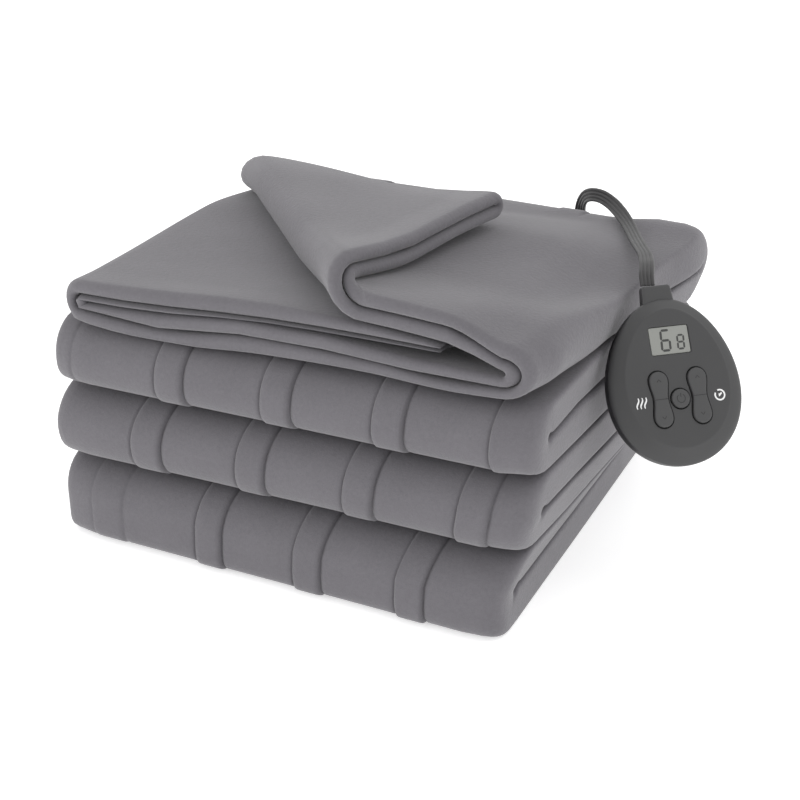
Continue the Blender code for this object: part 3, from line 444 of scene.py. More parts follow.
# Each roll's middle height, lean, share of the width, middle channel, and the strength of its
# channels at the left end.
ROLLS = (
    (190 * MM, 0 * MM, 1.010, -4 * MM, 1.0),
    (130 * MM, -1 * MM, 1.005, -6 * MM, 0.5),
    (80 * MM, -5 * MM, 1.010, -22 * MM, 0.8),
    (27 * MM, -11 * MM, 0.965, 23 * MM, 0.3),
)
CHANNELS = np.arange(-3, 4)
CHANNEL_PITCH = 74.5 * MM
CHANNEL_WIDTH = 20.8 * MM
CHANNEL_RAMP = 5 * MM
CHANNEL_FADE = 14 * MM          # channels fade out over this at both ends of a face
FAINTEST = 0.55                 # share of the relief left where a fold begins
RELIEF_FROM, RELIEF_DEPTH = 25 * MM, 30 * MM    # from the noses, where it fades out inside
SEAM_PLACES = np.array((-4.4, -1.7, -0.7, 0.0, 0.7, 1.7, 4.4)) * MM
SEAM_WIDTHS = (0.9 * MM, 1.1 * MM)      # of a channel's left and right seams
SEAM_DEPTHS = (0.85, 1.15)
FLOOR_TRIM = 0.45 * MM
WANDER = 1.2 * MM
WANDER_ACROSS = 88 * MM
WANDER_UP = 24 * MM
SAG_SHARE = 0.008
SAG_PHASE = 1.9
CORNER_SHARE = 0.052
CORNER_FROM = 130 * MM
CORNER_DEPTH = 36 * MM
# How the rolls under the top section spread to the left, and how the lowest narrows and turns.
SPREAD = 10 * MM
SPREAD_FROM = 90 * MM
SPREAD_BELOW = 150 * MM
SPREAD_EDGE = 8 * MM
FRONT_DEPTH = 100 * MM          # how far back the front's own unevenness reaches
NARROWING = 0.13
TURNED = 0.045
LOW_FROM, LOW_DEPTH = 18 * MM, 45 * MM
# Under surfaces of the layers, from the bottom up; the over surface is the next number.
A_LOW, B_LOW, B_LEFT, A_LEFT, B_RIGHT, A_RIGHT = 0, 2, 4, 6, 8, 10
LOOSE_X = np.array((-150, -90, -20, 50, 100, 135)) * MM
# Under and over heights of the layers at the open front end, and once more behind the hem, mm.
LOOSE = np.array((
    (0.7, -4.2, 0.4, 2.2, 1.0, 2.8, 0.6),
    (8.2, 4.6, 10.8, 10.3, 7.4, 9.6, 5.6),
    (8.7, 5.1, 11.3, 10.8, 7.9, 10.1, 6.4),
    (13.3, 15.1, 21.0, 20.4, 15.4, 17.0, 12.0),
    (14.6, 16.4, 22.2, 24.1, 25.0, 17.6, 13.2),
    (17.8, 19.4, 23.4, 25.3, 26.3, 17.9, 18.2),
    (18.4, 20.2, 24.1, 26.1, 27.0, 18.2, 19.4),
    (27.5, 30.0, 33.8, 32.6, 29.2, 18.5, 26.0),
    (28.3, 30.8, 34.6, 33.6, 31.0, 20.8, 27.2),
    (37.5, 40.0, 44.0, 42.6, 41.0, 27.6, 33.4),
    (38.0, 40.5, 44.5, 43.1, 41.5, 28.1, 34.4),
    (47.2, 49.7, 53.8, 52.2, 49.7, 38.0, 41.6),
)) * MM
# Centres of the left, right and joined turns and of the free edge; reach of half A at the turns.
TURNS_FRONT = np.array((-149, 135, -146, 98, 9.1, 15.5, 6.5)) * MM
TURNS_BEHIND = np.array((-150, 140, -148, 102, 9.0, 18.0, 5.0)) * MM
TOP_CLOTH_FRONT = np.array((8.8, 8.8, 0.6)) * MM
TOP_CLOTH_BEHIND = np.array((5.0, 5.0, 0.9)) * MM
HEM_DEPTH = 30 * MM
DROOP = 3.7 * MM
DROOP_DEPTH = 9 * MM
LIFT_DEPTH = 85 * MM
LOOSE_END = -10 * MM
LOFT = 0.6                      # the top section stands this share higher in its middle
LOFT_ALONG = (20 * MM, 124 * MM)        # and settles to the back fold between these
LOFT_ACROSS = (97 * MM, 140 * MM)       # and towards the right side between these
LAYER_AIR = 0.7 * MM
LEAST_THICK = 0.72              # share of its thickness that a pressed layer keeps
HEM_ROUND = 5.2 * MM            # the hem's end is a half round of this reach
EDGE_ROUND = 11.0 * MM          # and the free edge beside it
SEAMS_FROM, SEAMS_DEPTH = 60 * MM, 60 * MM      # where the top's places change to the seams'
CREASE_NEAR = (39 * MM, FRONT_END)
CREASE_FAR = (-149 * MM, 66 * MM)
CREASE_RADIUS = 9.6 * MM
CREASE_RADIUS_HEM = 9.5 * MM
FLAP_SETTLE = 105 * MM
FLAP_ARCH = 6 * MM
FLAP_ARCH_SPAN = 190 * MM
FLAP_ARCH_DEPTH = 90 * MM
FLAP_AIR = 0.7 * MM
# Soft troughs, ridges and bulges: middle, direction, half length and half width, push, in mm.
FOLLOWS = (
    ((95, 20, 191), (0.75, 0.66, 0.0), (110, 16), (0, 0, 1.0)),
    ((40, 95, 181), (0.95, 0.30, 0.0), (90, 12), (0, 0, -0.8)),
    ((-70, 60, 188), (0.9, 0.40, 0.0), (80, 18), (0, 0, 0.9)),
    ((120, -60, 192), (0.35, 0.93, 0.0), (70, 12), (0, 0, -0.9)),
    ((-40, -60, 218), (0.65, -0.75, 0.0), (70, 14), (0, 0, 1.1)),
    ((-80, -20, 215), (0.60, -0.80, 0.0), (60, 10), (0, 0, -0.8)),
    ((142, 130, 174), (1.0, 0.2, 0.0), (26, 20), (0, 0, 5.0)),
    ((163, -46, 136), (0.0, 1.0, 0.0), (40, 16), (-3.4, 0, 0)),
    ((121, 94, 180), (-0.5, 0.87, 0.0), (30, 14), (0, 0, -1.6)),
    ((153, 108, 158), (0.2, 1.0, 0.0), (44, 22), (10.0, 0, 0)),
    ((-110, -150, 128), (0.8, 0.0, 0.6), (40, 9), (0, 0.6, 0)),
    ((20, -150, 76), (1.0, 0.0, 0.25), (60, 9), (0, -0.6, 0)),
    ((110, -150, 124), (1.0, 0.0, -0.35), (45, 8), (0, 0.6, 0)),
    ((60, -150, 26), (1.0, 0.0, 0.2), (70, 8), (0, -0.5, 0)),
    ((163, -60, 140), (0.0, 0.9, 0.45), (60, 9), (-1.6, 0, 0)),
    ((160, -20, 92), (0.0, 0.9, 0.40), (80, 10), (-1.8, 0, 0)),
    ((158, -70, 60), (0.0, 0.9, 0.42), (70, 10), (1.2, 0, 0)),
)
# Points along the strip's stretches.
LEFT_FLAT, LEFT_TURN, LOW_BASE, RIGHT_TURN, JOINED_TURN = 8, 11, 22, 16, 8
INNER_RIGHT_TURN, INNER_LOW, INNER_LEFT_TURN = 8, 6, 7
EDGE_STEPS = 5
# Across the wing and its inner layer: before the crease's bend, in it and after it.
WING_COUNTS = (14, 22, 24)
INNER_WING_COUNTS = (5, 9, 6)
NEAR_MARGIN, RIGHT_MARGIN, FAR_MARGIN = 14 * MM, 10 * MM, 5 * MM    # of that bend to the turns
LOW_CHANNELS = np.arange(-2, 3)
WING_CHANNELS = np.arange(-1, 2)
WING_BASE = sum(WING_COUNTS) - 2 * len(WING_CHANNELS) * len(SEAM_PLACES)
# Rings along the stack: round a hem's end, close behind it, on to the first fold, round a fold
# and between folds.
HEM_STEPS, HEM_START = 8, 0.12
HEM_STATIONS = np.arange(8.0, 40.0, 3.2) * MM
TOP_STATIONS_FROM, TOP_STATIONS = 40 * MM, 42
FRONT_STEPS, BACK_STEPS, STRAIGHT_STEPS = 17, 14, 5
NOSE_ROUNDING = 1.5             # how closely the rounding of the side turns keeps to a fold's nose


# ---------------------------------------------------------------- the six-layer section
def even_levels(height):
    """Under and over heights of six even layers: layer * pitch, with half the air on each side."""
    low = (np.arange(LAYERS) + (1.0 - CLOTH_SHARE) / 2.0) * height / LAYERS
    return np.stack((low, low + height / LAYERS * CLOTH_SHARE), axis=1).ravel()


def even_turns(height):
    """Turn centres, reaches and cloth of an even section."""
    pitch = height / LAYERS
    cloth = pitch * CLOTH_SHARE
    ends = np.array((-HALF_WIDTH + 2.0 * pitch, HALF_WIDTH - 3.0 * pitch,
                     -HALF_WIDTH + JOINED_INSET, FREE_EDGE))
    reach = np.array((2.0 * pitch - cloth / 2.0, 3.0 * pitch - cloth / 2.0, JOINED_REACH * pitch))
    return ends, reach, np.tile((cloth, cloth, pitch - cloth), (3, 1))


def seam_places(middle, channels, low, high, base):
    """Places across a face: base even ones and seven round every seam, in order.

    Seams beyond the face are pressed to its ends, a little apart from each other.
    """
    centres = middle + channels * CHANNEL_PITCH
    seams = np.concatenate((centres - CHANNEL_WIDTH / 2.0, centres + CHANNEL_WIDTH / 2.0))
    places = np.concatenate((np.linspace(low, high, base), np.add.outer(seams, SEAM_PLACES).ravel()))
    places = np.sort(np.clip(places, low, high))
    apart = 0.05 * MM * np.arange(len(places))
    places = np.maximum.accumulate(places - apart) + apart
    return np.minimum(places, high - apart[::-1])


def channel_relief(x, middle, raised, low, high, faint=1.0):
    """How far the face stands out, and how much of it is seam (the mask for the painted seam shade), at
    places across it.

    A band over a wire channel is the difference of two smooth steps, and each of its two seams
    is a bell-shaped groove.  faint is the strength of the channels at the left end.
    """
    cloth = settings("blanket")
    out, seams = np.zeros_like(x), np.zeros_like(x)
    for channel in CHANNELS:
        left = middle + channel * CHANNEL_PITCH - CHANNEL_WIDTH / 2.0
        right = left + CHANNEL_WIDTH
        full = faint if channel < -1 else 1.0
        out += full * cloth.channel_rise * (ease((x - left) / CHANNEL_RAMP + 0.5)
                                            - ease((x - right) / CHANNEL_RAMP + 0.5))
        for seam, width, depth in zip((left, right), SEAM_WIDTHS, SEAM_DEPTHS):
            groove = full * depth * bell((x - seam) / width)
            out -= cloth.seam_depth * groove
            # seams gathers the groove depth, the mask for the shade painted into the seam grooves.
            seams += groove
    ends = raised * ease((x - low) / CHANNEL_FADE) * ease((high - x) / CHANNEL_FADE)
    return out * ends, seams * ends


def wing_places(right, joined, crease, bend, counts):
    """Places across the right wing, close together where the crease bends it."""
    near = min(max(crease, joined + NEAR_MARGIN), right - RIGHT_MARGIN)
    far = max(near - bend, joined + FAR_MARGIN)
    loose, fine, rest = counts
    return np.concatenate((np.linspace(right, near, loose, endpoint=False),
                           np.linspace(near, far, fine, endpoint=False),
                           np.linspace(far, joined, rest)))


class Strip:
    """Both faces of the folded strip, stretch by stretch, as equal rows of points."""

    def __init__(self, levels, power):
        self.levels = levels
        self.power = power
        self.outer = []
        self.inner = []
        self.wing = []

    def flat(self, outer, inner, places, wing=False, out=0.0, seam=0.0):
        """A layer: the points on its two surfaces at the places."""
        self.outer.append(np.stack((places, self.levels(outer, places) + out,
                                    seam + 0.0 * places)))
        self.inner.append(np.stack((places, self.levels(inner, places), 0.0 * places)))
        self.wing.append(np.full(len(places), wing))

    def edge(self, outer, inner, free, end, steps, onward):
        """A layer between its free edge, a half round, and a turn; onward starts at the edge."""
        round_off = EDGE_ROUND * (1.0 - np.cos(np.linspace(0.0, np.pi / 2.0, EDGE_STEPS)))
        places = np.concatenate((free - round_off, np.linspace(free - EDGE_ROUND, end, steps)[1:]))
        share = np.sqrt(np.clip(1.0 - (1.0 - (free - places) / EDGE_ROUND).clip(0.0) ** 2, 0.0, 1.0))
        high, low = self.levels(outer, places), self.levels(inner, places)
        middle, half = (high + low) / 2.0, (high - low) / 2.0 * share
        order = slice(None) if onward else slice(None, None, -1)
        self.outer.append(np.stack((places, middle + half, 0.0 * places))[:, order])
        self.inner.append(np.stack((places, middle - half, 0.0 * places))[:, order])
        self.wing.append(np.full(len(places), False))

    def turn(self, x, outer, inner, reach, cloth, steps, wing=False):
        """Half rounds from one surface to another: x + reach s and middle - half gap c.

        s and c are sin(a) and cos(a) raised to a power, which fills the round out below 1.
        """
        angle = np.pi * np.arange(1, steps + 1) / (steps + 1)
        sine = np.sin(angle) ** self.power
        cosine = np.sign(np.cos(angle)) * np.abs(np.cos(angle)) ** self.power
        at = np.array([x])
        grow = cloth / 2.0 * math.copysign(1.0, reach)
        for rows, ends, out in ((self.outer, outer, reach + grow), (self.inner, inner, reach - grow)):
            start, end = (self.levels(surface, at)[0] for surface in ends)
            rows.append(np.stack((x + out * sine,
                                  (start + end) / 2.0 - (end - start) / 2.0 * cosine,
                                  0.0 * sine)))
        self.wing.append(np.full(steps, wing))

    def ring(self):
        """x, height, seam and wing mask, down the outer face and back along the inner one."""
        outer, inner, wing = (np.concatenate(part, axis=-1)
                              for part in (self.outer, self.inner, self.wing))
        ring = np.concatenate((outer, inner[:, ::-1]), axis=1)
        return *ring, np.concatenate((wing, wing[::-1]))


def section_ring(levels, ends, reach, cloth, crease, bend, middle, raised, seamed, power):
    """The closed outline of a section.

    seamed runs from 0, where the wing's places follow the turned-back crease, to 1, where they
    follow the seams.  raised holds the relief of the lower face, of the wing and of the channels
    at the left end.  cloth holds the thickness of the outer layer, of the inner one and of the
    air between, at the left, right and joined turns, and power fills the turns out.
    """
    left, right, joined, free = ends
    out_left, out_right, out_joined = reach
    a, b, air = cloth.T
    in_left, in_right, _ = reach - a / 2.0 - air - b / 2.0
    low = seam_places(middle, LOW_CHANNELS, left, right, LOW_BASE)
    crossing = wing_places(right, joined, crease, bend, WING_COUNTS)
    seams = seam_places(middle, WING_CHANNELS, joined, right, WING_BASE)[::-1]
    wing = mix(crossing, seams, seamed)
    inner_wing = wing_places(right, joined, crease, bend, INNER_WING_COUNTS)
    strip = Strip(levels, power)
    strip.edge(A_LEFT + 1, A_LEFT, free, left, LEFT_FLAT, True)
    strip.turn(left, (A_LEFT + 1, A_LOW), (A_LEFT, A_LOW + 1), -out_left, a[0], LEFT_TURN)
    out, seam = channel_relief(low, middle, raised[0], left, right, raised[2])
    strip.flat(A_LOW, A_LOW + 1, low, out=-out, seam=seam)
    strip.turn(right, (A_LOW, A_RIGHT + 1), (A_LOW + 1, A_RIGHT), out_right, a[1], RIGHT_TURN)
    out, seam = channel_relief(wing, middle, raised[1], joined, right, raised[2])
    strip.flat(A_RIGHT + 1, A_RIGHT, wing, True, out, seam)
    strip.turn(joined, (A_RIGHT + 1, B_RIGHT), (A_RIGHT, B_RIGHT + 1), -out_joined, a[2],
               JOINED_TURN, True)
    strip.flat(B_RIGHT, B_RIGHT + 1, inner_wing[::-1], True)
    strip.turn(right, (B_RIGHT, B_LOW + 1), (B_RIGHT + 1, B_LOW), in_right, -b[1], INNER_RIGHT_TURN)
    strip.flat(B_LOW + 1, B_LOW, np.linspace(right, left, INNER_LOW))
    strip.turn(left, (B_LOW + 1, B_LEFT), (B_LOW, B_LEFT + 1), -in_left, -b[0], INNER_LEFT_TURN)
    strip.edge(B_LEFT, B_LEFT + 1, free, left, LEFT_FLAT, False)
    return strip.ring()


# ---------------------------------------------------------------- back and forth
def section_height(number, y):
    """Height of a section at a distance along it: its front and back heights blended."""
    front, back = SECTIONS[number]
    share = np.clip((y - FRONT_NOSE) / (BACK_NOSE - FRONT_NOSE), 0.0, 1.0)
    return mix(front, back, share) * MM


def section_base(number, y):
    """Height of a section's underside: all lower sections and the folds' cores under it."""
    lower = range(number + 1, len(SECTIONS))
    return sum((section_height(k, y) + 2.0 * FOLD_CORE for k in lower), 0.0 * y)


def fold_centre(number):
    """Distance and height of the fold that joins a section to the next one below it."""
    at_back = number % 2 == 0
    edge = BACK_NOSE if at_back else FRONT_NOSE
    reach = FOLD_REACH * (section_height(number, edge) + FOLD_CORE)
    y = edge - reach if at_back else edge + reach
    return y, section_base(number, y) - FOLD_CORE, section_height(number, y)


def channels_of(number):
    """Middle channel, and strength at the left end, of the roll that a section belongs to."""
    return ROLLS[(number + 1) // 2][3:]


def even_ring(height, channel, raised, rounded=0.0):
    """Outline of an even section, whose side turns are rounded off by a share."""
    levels = even_levels(height)
    return section_ring(lambda surface, x: np.full(len(x), levels[surface]), *even_turns(height),
                        CREASE_NEAR[0], math.pi * CREASE_RADIUS, channel, raised, 1.0,
                        mix(2.0 / TURN_FULLNESS, TURN_ROUND, rounded))


def loose_share(y, depth):
    """Shares of the front, the behind-the-hem and the even state, settling over a depth."""
    front = 1.0 - ease((y - FRONT_END) / depth)
    even = ease((y - FRONT_END - HEM_DEPTH / 2.0) / (LOOSE_END - FRONT_END))
    return front, (1.0 - front) * (1.0 - even), (1.0 - front) * even


def through(x, places, values):
    """A smooth curve through values at places: cubic pieces, flat where the slope changes sign.

    Elsewhere the slope at a place is the harmonic mean of the slopes to both sides.
    """
    steps = np.diff(values) / np.diff(places)
    slope = np.zeros(len(values))
    same = steps[1:] * steps[:-1] > 0.0
    total = np.where(same, steps[1:] + steps[:-1], 1.0)
    slope[1:-1] = np.where(same, 2.0 * steps[1:] * steps[:-1] / total, 0.0)
    slope[0], slope[-1] = steps[0], steps[-1]
    x = np.clip(x, places[0], places[-1])
    cell = np.clip(np.searchsorted(places, x, side="right") - 1, 0, len(places) - 2)
    h = (places[1:] - places[:-1])[cell]
    t = (x - places[cell]) / h
    return ((1.0 + 2.0 * t) * (1.0 - t) ** 2 * values[cell] + t * (1.0 - t) ** 2 * h * slope[cell]
            + t * t * (3.0 - 2.0 * t) * values[cell + 1] + t * t * (t - 1.0) * h * slope[cell + 1])


def standing(x, y):
    """How high the top section's even layers stand: 1, and more where both eased steps are on."""
    along = 1.0 - ease((y - LOFT_ALONG[0]) / (LOFT_ALONG[1] - LOFT_ALONG[0]))
    across = 1.0 - ease((x - LOFT_ACROSS[0]) / (LOFT_ACROSS[1] - LOFT_ACROSS[0]))
    return 1.0 + LOFT * along * across


def loose_layers(x, y, rounding=1.0):
    """Under and over heights of the top section's layers at places x, y, one row a layer.

    Thickness settles just behind the hem and height further in; each layer lies at least
    LAYER_AIR over the one below it, and rounding thins the layers at their rounded ends.
    """
    x, y = np.broadcast_arrays(np.asarray(x, dtype=float), np.asarray(y, dtype=float))
    flat = even_levels(section_height(0, FRONT_END))
    stands = standing(x, y)
    hem, hem_behind, hem_even = loose_share(y, HEM_DEPTH)
    lift, lift_behind, lift_even = loose_share(y, LIFT_DEPTH)
    hang = -DROOP * (1.0 - ease((y - FRONT_END) / DROOP_DEPTH)) + FOLD_CORE / 2.0
    under, over = [], []
    for layer in range(LAYERS):
        rows = LOOSE[2 * layer:2 * layer + 2]
        low, high = (through(x, LOOSE_X, row[:-1]) for row in rows)
        behind = rows[:, -1]
        even = flat[2 * layer:2 * layer + 2]
        thick = (hem * (high - low) + hem_behind * (behind[1] - behind[0])
                 + hem_even * (even[1] - even[0]) * stands)
        middle = (lift * (high + low) + lift_behind * behind.sum()
                  + lift_even * even.sum() * stands) / 2.0
        bottom = np.maximum(middle - thick / 2.0, over[-1] + LAYER_AIR if over else hang)
        under.append(bottom)
        over.append(np.maximum(middle + thick / 2.0, bottom + thick * LEAST_THICK))
    under, over = np.array(under), np.array(over)
    slack = (over - under) * (1.0 - rounding) / 2.0
    return under + slack, over - slack


def loose_surface(surface, x, y, rounding=1.0):
    """Height of one surface of the top section's layers."""
    return loose_layers(x, y, rounding)[surface % 2][surface // 2]


def loose_ring(y, rounding=1.0):
    """Outline of the top section at a distance along it."""
    hem, behind, even = loose_share(y, HEM_DEPTH)
    height = section_height(0, y)
    plain, high = even_turns(height), even_turns(height * standing(-HALF_WIDTH, y))
    on_right = np.array((0.0, 1.0, 0.0, 0.0))
    ends = mix(high[0], plain[0], on_right)
    reach = mix(high[1], plain[1], on_right[:3])
    cloth = mix(high[2], plain[2], on_right[:3, None])
    turns = hem * TURNS_FRONT + behind * TURNS_BEHIND + even * np.concatenate((ends, reach))
    cloth = hem * TOP_CLOTH_FRONT + behind * TOP_CLOTH_BEHIND + even * cloth
    thinner = (1.0 - rounding) * cloth[:, :1]
    cloth = np.hstack((cloth[:, :2] * rounding, cloth[:, 2:] + thinner))
    bend = math.pi * crease_radius(y) / CREASE_ACROSS[0]
    return section_ring(lambda surface, x: loose_surface(surface, x, y, rounding),
                        turns[:4], turns[4:], cloth, crease_place(y), bend, channels_of(0)[0],
                        (0.0, 0.0, 1.0), ease((y - SEAMS_FROM) / SEAMS_DEPTH),
                        mix(1.0, 2.0 / TURN_FULLNESS, even))


# ---------------------------------------------------------------- the turned-back corner
CREASE_LENGTH = math.hypot(CREASE_FAR[0] - CREASE_NEAR[0], CREASE_FAR[1] - CREASE_NEAR[1])
CREASE_ACROSS = ((CREASE_FAR[1] - CREASE_NEAR[1]) / CREASE_LENGTH,
                 (CREASE_NEAR[0] - CREASE_FAR[0]) / CREASE_LENGTH)


def crease_radius(y):
    """Radius of the bend's middle surface, wider where the hems go round."""
    return mix(CREASE_RADIUS, CREASE_RADIUS_HEM, 1.0 - ease((y - FRONT_END) / HEM_DEPTH))


def past_crease(x, y):
    """Distance past the line where the bend starts, towards the corner."""
    gone = (CREASE_NEAR[0] - x) * CREASE_ACROSS[0] + (CREASE_NEAR[1] - y) * CREASE_ACROSS[1]
    return gone + crease_radius(y)


def crease_place(y):
    """Where the bend starts across the stack, at a distance along it."""
    return (CREASE_NEAR[0] + ((CREASE_NEAR[1] - y) * CREASE_ACROSS[1] + crease_radius(y))
            / CREASE_ACROSS[0])


def wing_middle(x, y):
    """Height of the middle surface between the wing's two layers."""
    under, over = loose_layers(x, y)
    return (over[B_RIGHT // 2] + under[A_RIGHT // 2]) / 2.0


def turn_back(x, y, z):
    """Bend points of the right wing over the crease and lay them down on the wing.

    A point s past the crease and h over the middle surface goes round a bend of radius r: it
    stands (r - h) sin(s / r) past the crease and r - (r - h) cos(s / r) up, and beyond the half
    turn it runs back over the wing.
    """
    past = past_crease(x, y)
    bent = past > 0.0
    if not bent.any():
        return x, y, z
    x, y, z = x.copy(), y.copy(), z.copy()
    s = past[bent]
    radius = crease_radius(y[bent])
    rise = z[bent] - wing_middle(x[bent], y[bent])
    angle = np.minimum(s / radius, np.pi)
    beyond = np.maximum(s - np.pi * radius, 0.0)
    out = (radius - rise) * np.sin(angle) - beyond
    along_x = x[bent] + (s - out) * CREASE_ACROSS[0]
    along_y = y[bent] + (s - out) * CREASE_ACROSS[1]
    top = loose_surface(A_RIGHT + 1, along_x, along_y)
    own = loose_surface(A_RIGHT + 1, x[bent], y[bent]) - wing_middle(x[bent], y[bent])
    lifted = wing_middle(along_x, along_y) + radius - (radius - rise) * np.cos(angle)
    hem = 1.0 - ease((y[bent] - FRONT_END) / FLAP_ARCH_DEPTH)
    arch = FLAP_ARCH * hem * np.sin(np.pi * np.minimum(beyond / FLAP_ARCH_SPAN, 1.0))
    laid = top + FLAP_AIR + own - rise + arch
    x[bent], y[bent], z[bent] = along_x, along_y, mix(lifted, laid, ease(beyond / FLAP_SETTLE))
    return x, y, z


# ---------------------------------------------------------------- the whole blanket
def unevenness(points):
    """Lean and widen each roll, draw in the corners and let the folds wander a little."""
    x, y, z = points[..., 0], points[..., 1], points[..., 2]
    heights, lean, width = (np.array([row[k] for row in reversed(ROLLS)]) for k in (0, 1, 2))
    far = np.clip(np.abs(y) / abs(FRONT_NOSE), 0.0, 1.1)
    wander = WANDER * np.sin(x / WANDER_ACROSS + z / WANDER_UP) * far ** 4
    corner = 1.0 - CORNER_SHARE * np.clip((np.abs(x) - CORNER_FROM) / CORNER_DEPTH, 0.0, 1.2) ** 2
    sag = 1.0 + SAG_SHARE * np.sin(x / WANDER_ACROSS + SAG_PHASE)
    height = np.maximum(z * sag - FLOOR_TRIM, 0.0)
    front = ease(-y / FRONT_DEPTH)
    low = 1.0 - ease((z - LOW_FROM) / LOW_DEPTH)
    under = 1.0 - ease((z - SPREAD_BELOW) / SPREAD_EDGE)
    spread = SPREAD * ease((-x - SPREAD_FROM) / (HALF_WIDTH - SPREAD_FROM)) * front * under
    narrow = NARROWING * low * np.clip((y - FRONT_NOSE) / (BACK_NOSE - FRONT_NOSE), 0.0, 1.0)
    turned = TURNED * x * low * front
    x = x * np.interp(z, heights, width) + np.interp(z, heights, lean)
    return np.stack((x - narrow * np.maximum(x, 0.0) - spread, y * corner + wander - turned, height),
                    axis=-1)


def follow(points):
    """Soft troughs, ridges and bulges: each moves points by push * bell(across) * bell(along)."""
    points = points.copy()
    for middle, way, (long, wide), push in FOLLOWS:
        gone = points - np.array(middle) * MM
        way = np.array(way) / np.linalg.norm(way)
        along = gone @ way
        apart = np.linalg.norm(gone - along[..., None] * way, axis=-1)
        share = bell(along / (long * MM)) * bell(apart / (wide * MM))
        points += share[..., None] * np.array(push) * MM
    points[..., 2] = np.maximum(points[..., 2], 0.0)
    return points


def flat_station(number, y, ring):
    """A ring of points on a section at a distance along it."""
    x, z, seam, wing = ring
    base = section_base(number, y)
    if number % 2:
        z = section_height(number, y) - z
    distance = np.full(len(x), y)
    if number == 0:
        x, z = x.copy(), z.copy()
        x[wing], distance[wing], z[wing] = turn_back(x[wing], distance[wing], z[wing])
        base = section_base(number, distance)
    return np.stack((x, distance, base + z, seam), axis=-1)


def fold_stations(number, steps):
    """Rings round the fold that joins a section to the next one below it.

    A point at radius r from the fold's core goes round a half super-ellipse, whose half height
    is r and whose reach is r FOLD_REACH.  The relief is full at the fold's nose.
    """
    y, z, height = fold_centre(number)
    at_back = number % 2 == 0
    low = FOLD_FULLNESS_FLOOR if number == len(SECTIONS) - 2 else FOLD_FULLNESS_LOW
    channel, faint = channels_of(number)
    next_channel = channels_of(number + 1)[0]
    rings = []
    for share in np.arange(1, steps) / steps:
        power = 2.0 / (FOLD_FULLNESS if share < 0.5 else low)
        angle = math.pi * share
        raised = mix(FAINTEST, 1.0, math.sin(angle))
        relief = (0.0, raised, faint) if at_back else (raised, 0.0, faint)
        x, w, seam, _ = even_ring(height, mix(channel, next_channel, share), relief,
                                  math.sin(angle) ** NOSE_ROUNDING)
        radius = FOLD_CORE + (w if at_back else height - w)
        out = FOLD_REACH * radius * abs(math.sin(angle)) ** power
        up = radius * math.copysign(abs(math.cos(angle)) ** power, math.cos(angle))
        rings.append(np.stack((x, y + out if at_back else y - out, z + up, seam), axis=-1))
    return rings


def straight_stations(number, start, end, steps):
    """Rings between a section's two folds."""
    channel, faint = channels_of(number)
    rings = []
    for y in np.linspace(start, end, steps + 1):
        near_front = 1.0 - ease((y - FRONT_NOSE - RELIEF_FROM) / RELIEF_DEPTH)
        near_back = 1.0 - ease((BACK_NOSE - RELIEF_FROM - y) / RELIEF_DEPTH)
        ring = even_ring(section_height(number, y), channel,
                         (FAINTEST * near_front, FAINTEST * near_back, faint))
        rings.append(flat_station(number, y, ring))
    return rings


def blanket_rings():
    """All rings, from the open front end on top to the bottom, and the seam share at each point, the
    mask for the painted seam shade.
    """
    quarter = np.linspace(HEM_START, 1.0, HEM_STEPS) * math.pi / 2.0
    rings = []
    for inset, rounding in zip(HEM_ROUND * (1.0 - np.cos(quarter)), np.sin(quarter)):
        y = FRONT_END + inset
        rings.append(flat_station(0, y, loose_ring(y, rounding)))
    stations = np.concatenate((HEM_STATIONS + FRONT_END,
                               np.linspace(FRONT_END + TOP_STATIONS_FROM, fold_centre(0)[0],
                                           TOP_STATIONS)))
    rings += [flat_station(0, y, loose_ring(y)) for y in stations]
    last = len(SECTIONS) - 1
    for number in range(last):
        rings += fold_stations(number, FRONT_STEPS if number % 2 else BACK_STEPS)
        start = fold_centre(number)[0]
        end = fold_centre(number + 1)[0] if number + 1 < last else BACK_END
        rings += straight_stations(number + 1, start, end, STRAIGHT_STEPS)
    rings = np.array(rings)
    return follow(unevenness(rings[..., :3])), rings[..., 3]


# ---------------------------------------------------------------- controller shapes
CONTROL_MIDDLE = (203.5 * MM, -33.0 * MM, 136.0 * MM)
CONTROL_AZIMUTH = math.radians(42)
CONTROL_TILT = math.radians(32)
SHELL_HALF_WIDTH = 42.8 * MM
SHELL_HALF_HEIGHT = 51.8 * MM
SHELL_NARROWING = 0.10
PLATEAU = (0.78, 0.83)          # the flat middle's share of the oval's width and height
PLATEAU_RISE = 1.6 * MM         # and how far up it sits
TOUCH = 0.3 * MM
KEY_GAP = 0.5 * MM
PRINT_SINK, PRINT_RISE = 0.02 * MM, 0.05 * MM   # of printed and moulded marks
KEY_RISE = 1.5 * MM
KEY_SINK = 2.6 * MM
POCKET_SINK = 4.6 * MM
CHAMFER = 0.4 * MM
POCKET_TOP = 3.0 * MM
POCKET_SHARP = math.radians(28)
DISPLAY_MIDDLE = np.array((-0.6, 25.1)) * MM
DISPLAY_SIZE = (25.4 * MM, 17.0 * MM)
DISPLAY_RECESS = 0.5 * MM
DISPLAY_THICK = 1.6 * MM
DISPLAY_CORNER = 1.0 * MM
DISPLAY_POCKET_CORNER = 1.4 * MM
DISPLAY_BEVEL = 0.3 * MM
ROCKER_X = 12.6 * MM
ROCKER_Y = -10.6 * MM
ROCKER_LOBE = 6.0 * MM
ROCKER_REACH = 11.2 * MM
ROCKER_WAIST = 4.5 * MM
POWER_Y = -11.3 * MM
POWER_RADIUS = 5.9 * MM
GLAND_X = -1.5 * MM
GLAND_HALF_WIDTH = 9.6 * MM
GLAND_LENGTH = 8.5 * MM
GLAND_DEPTH = -8.5 * MM
GLAND_SINK = 3.0 * MM
GLAND_THICK = 7.0 * MM
GLAND_CORNER = 1.9 * MM
SHELL_STEPS, FACE_STEPS, REAR_STEPS = 144, 26, 14
PEANUT_STEPS = 96
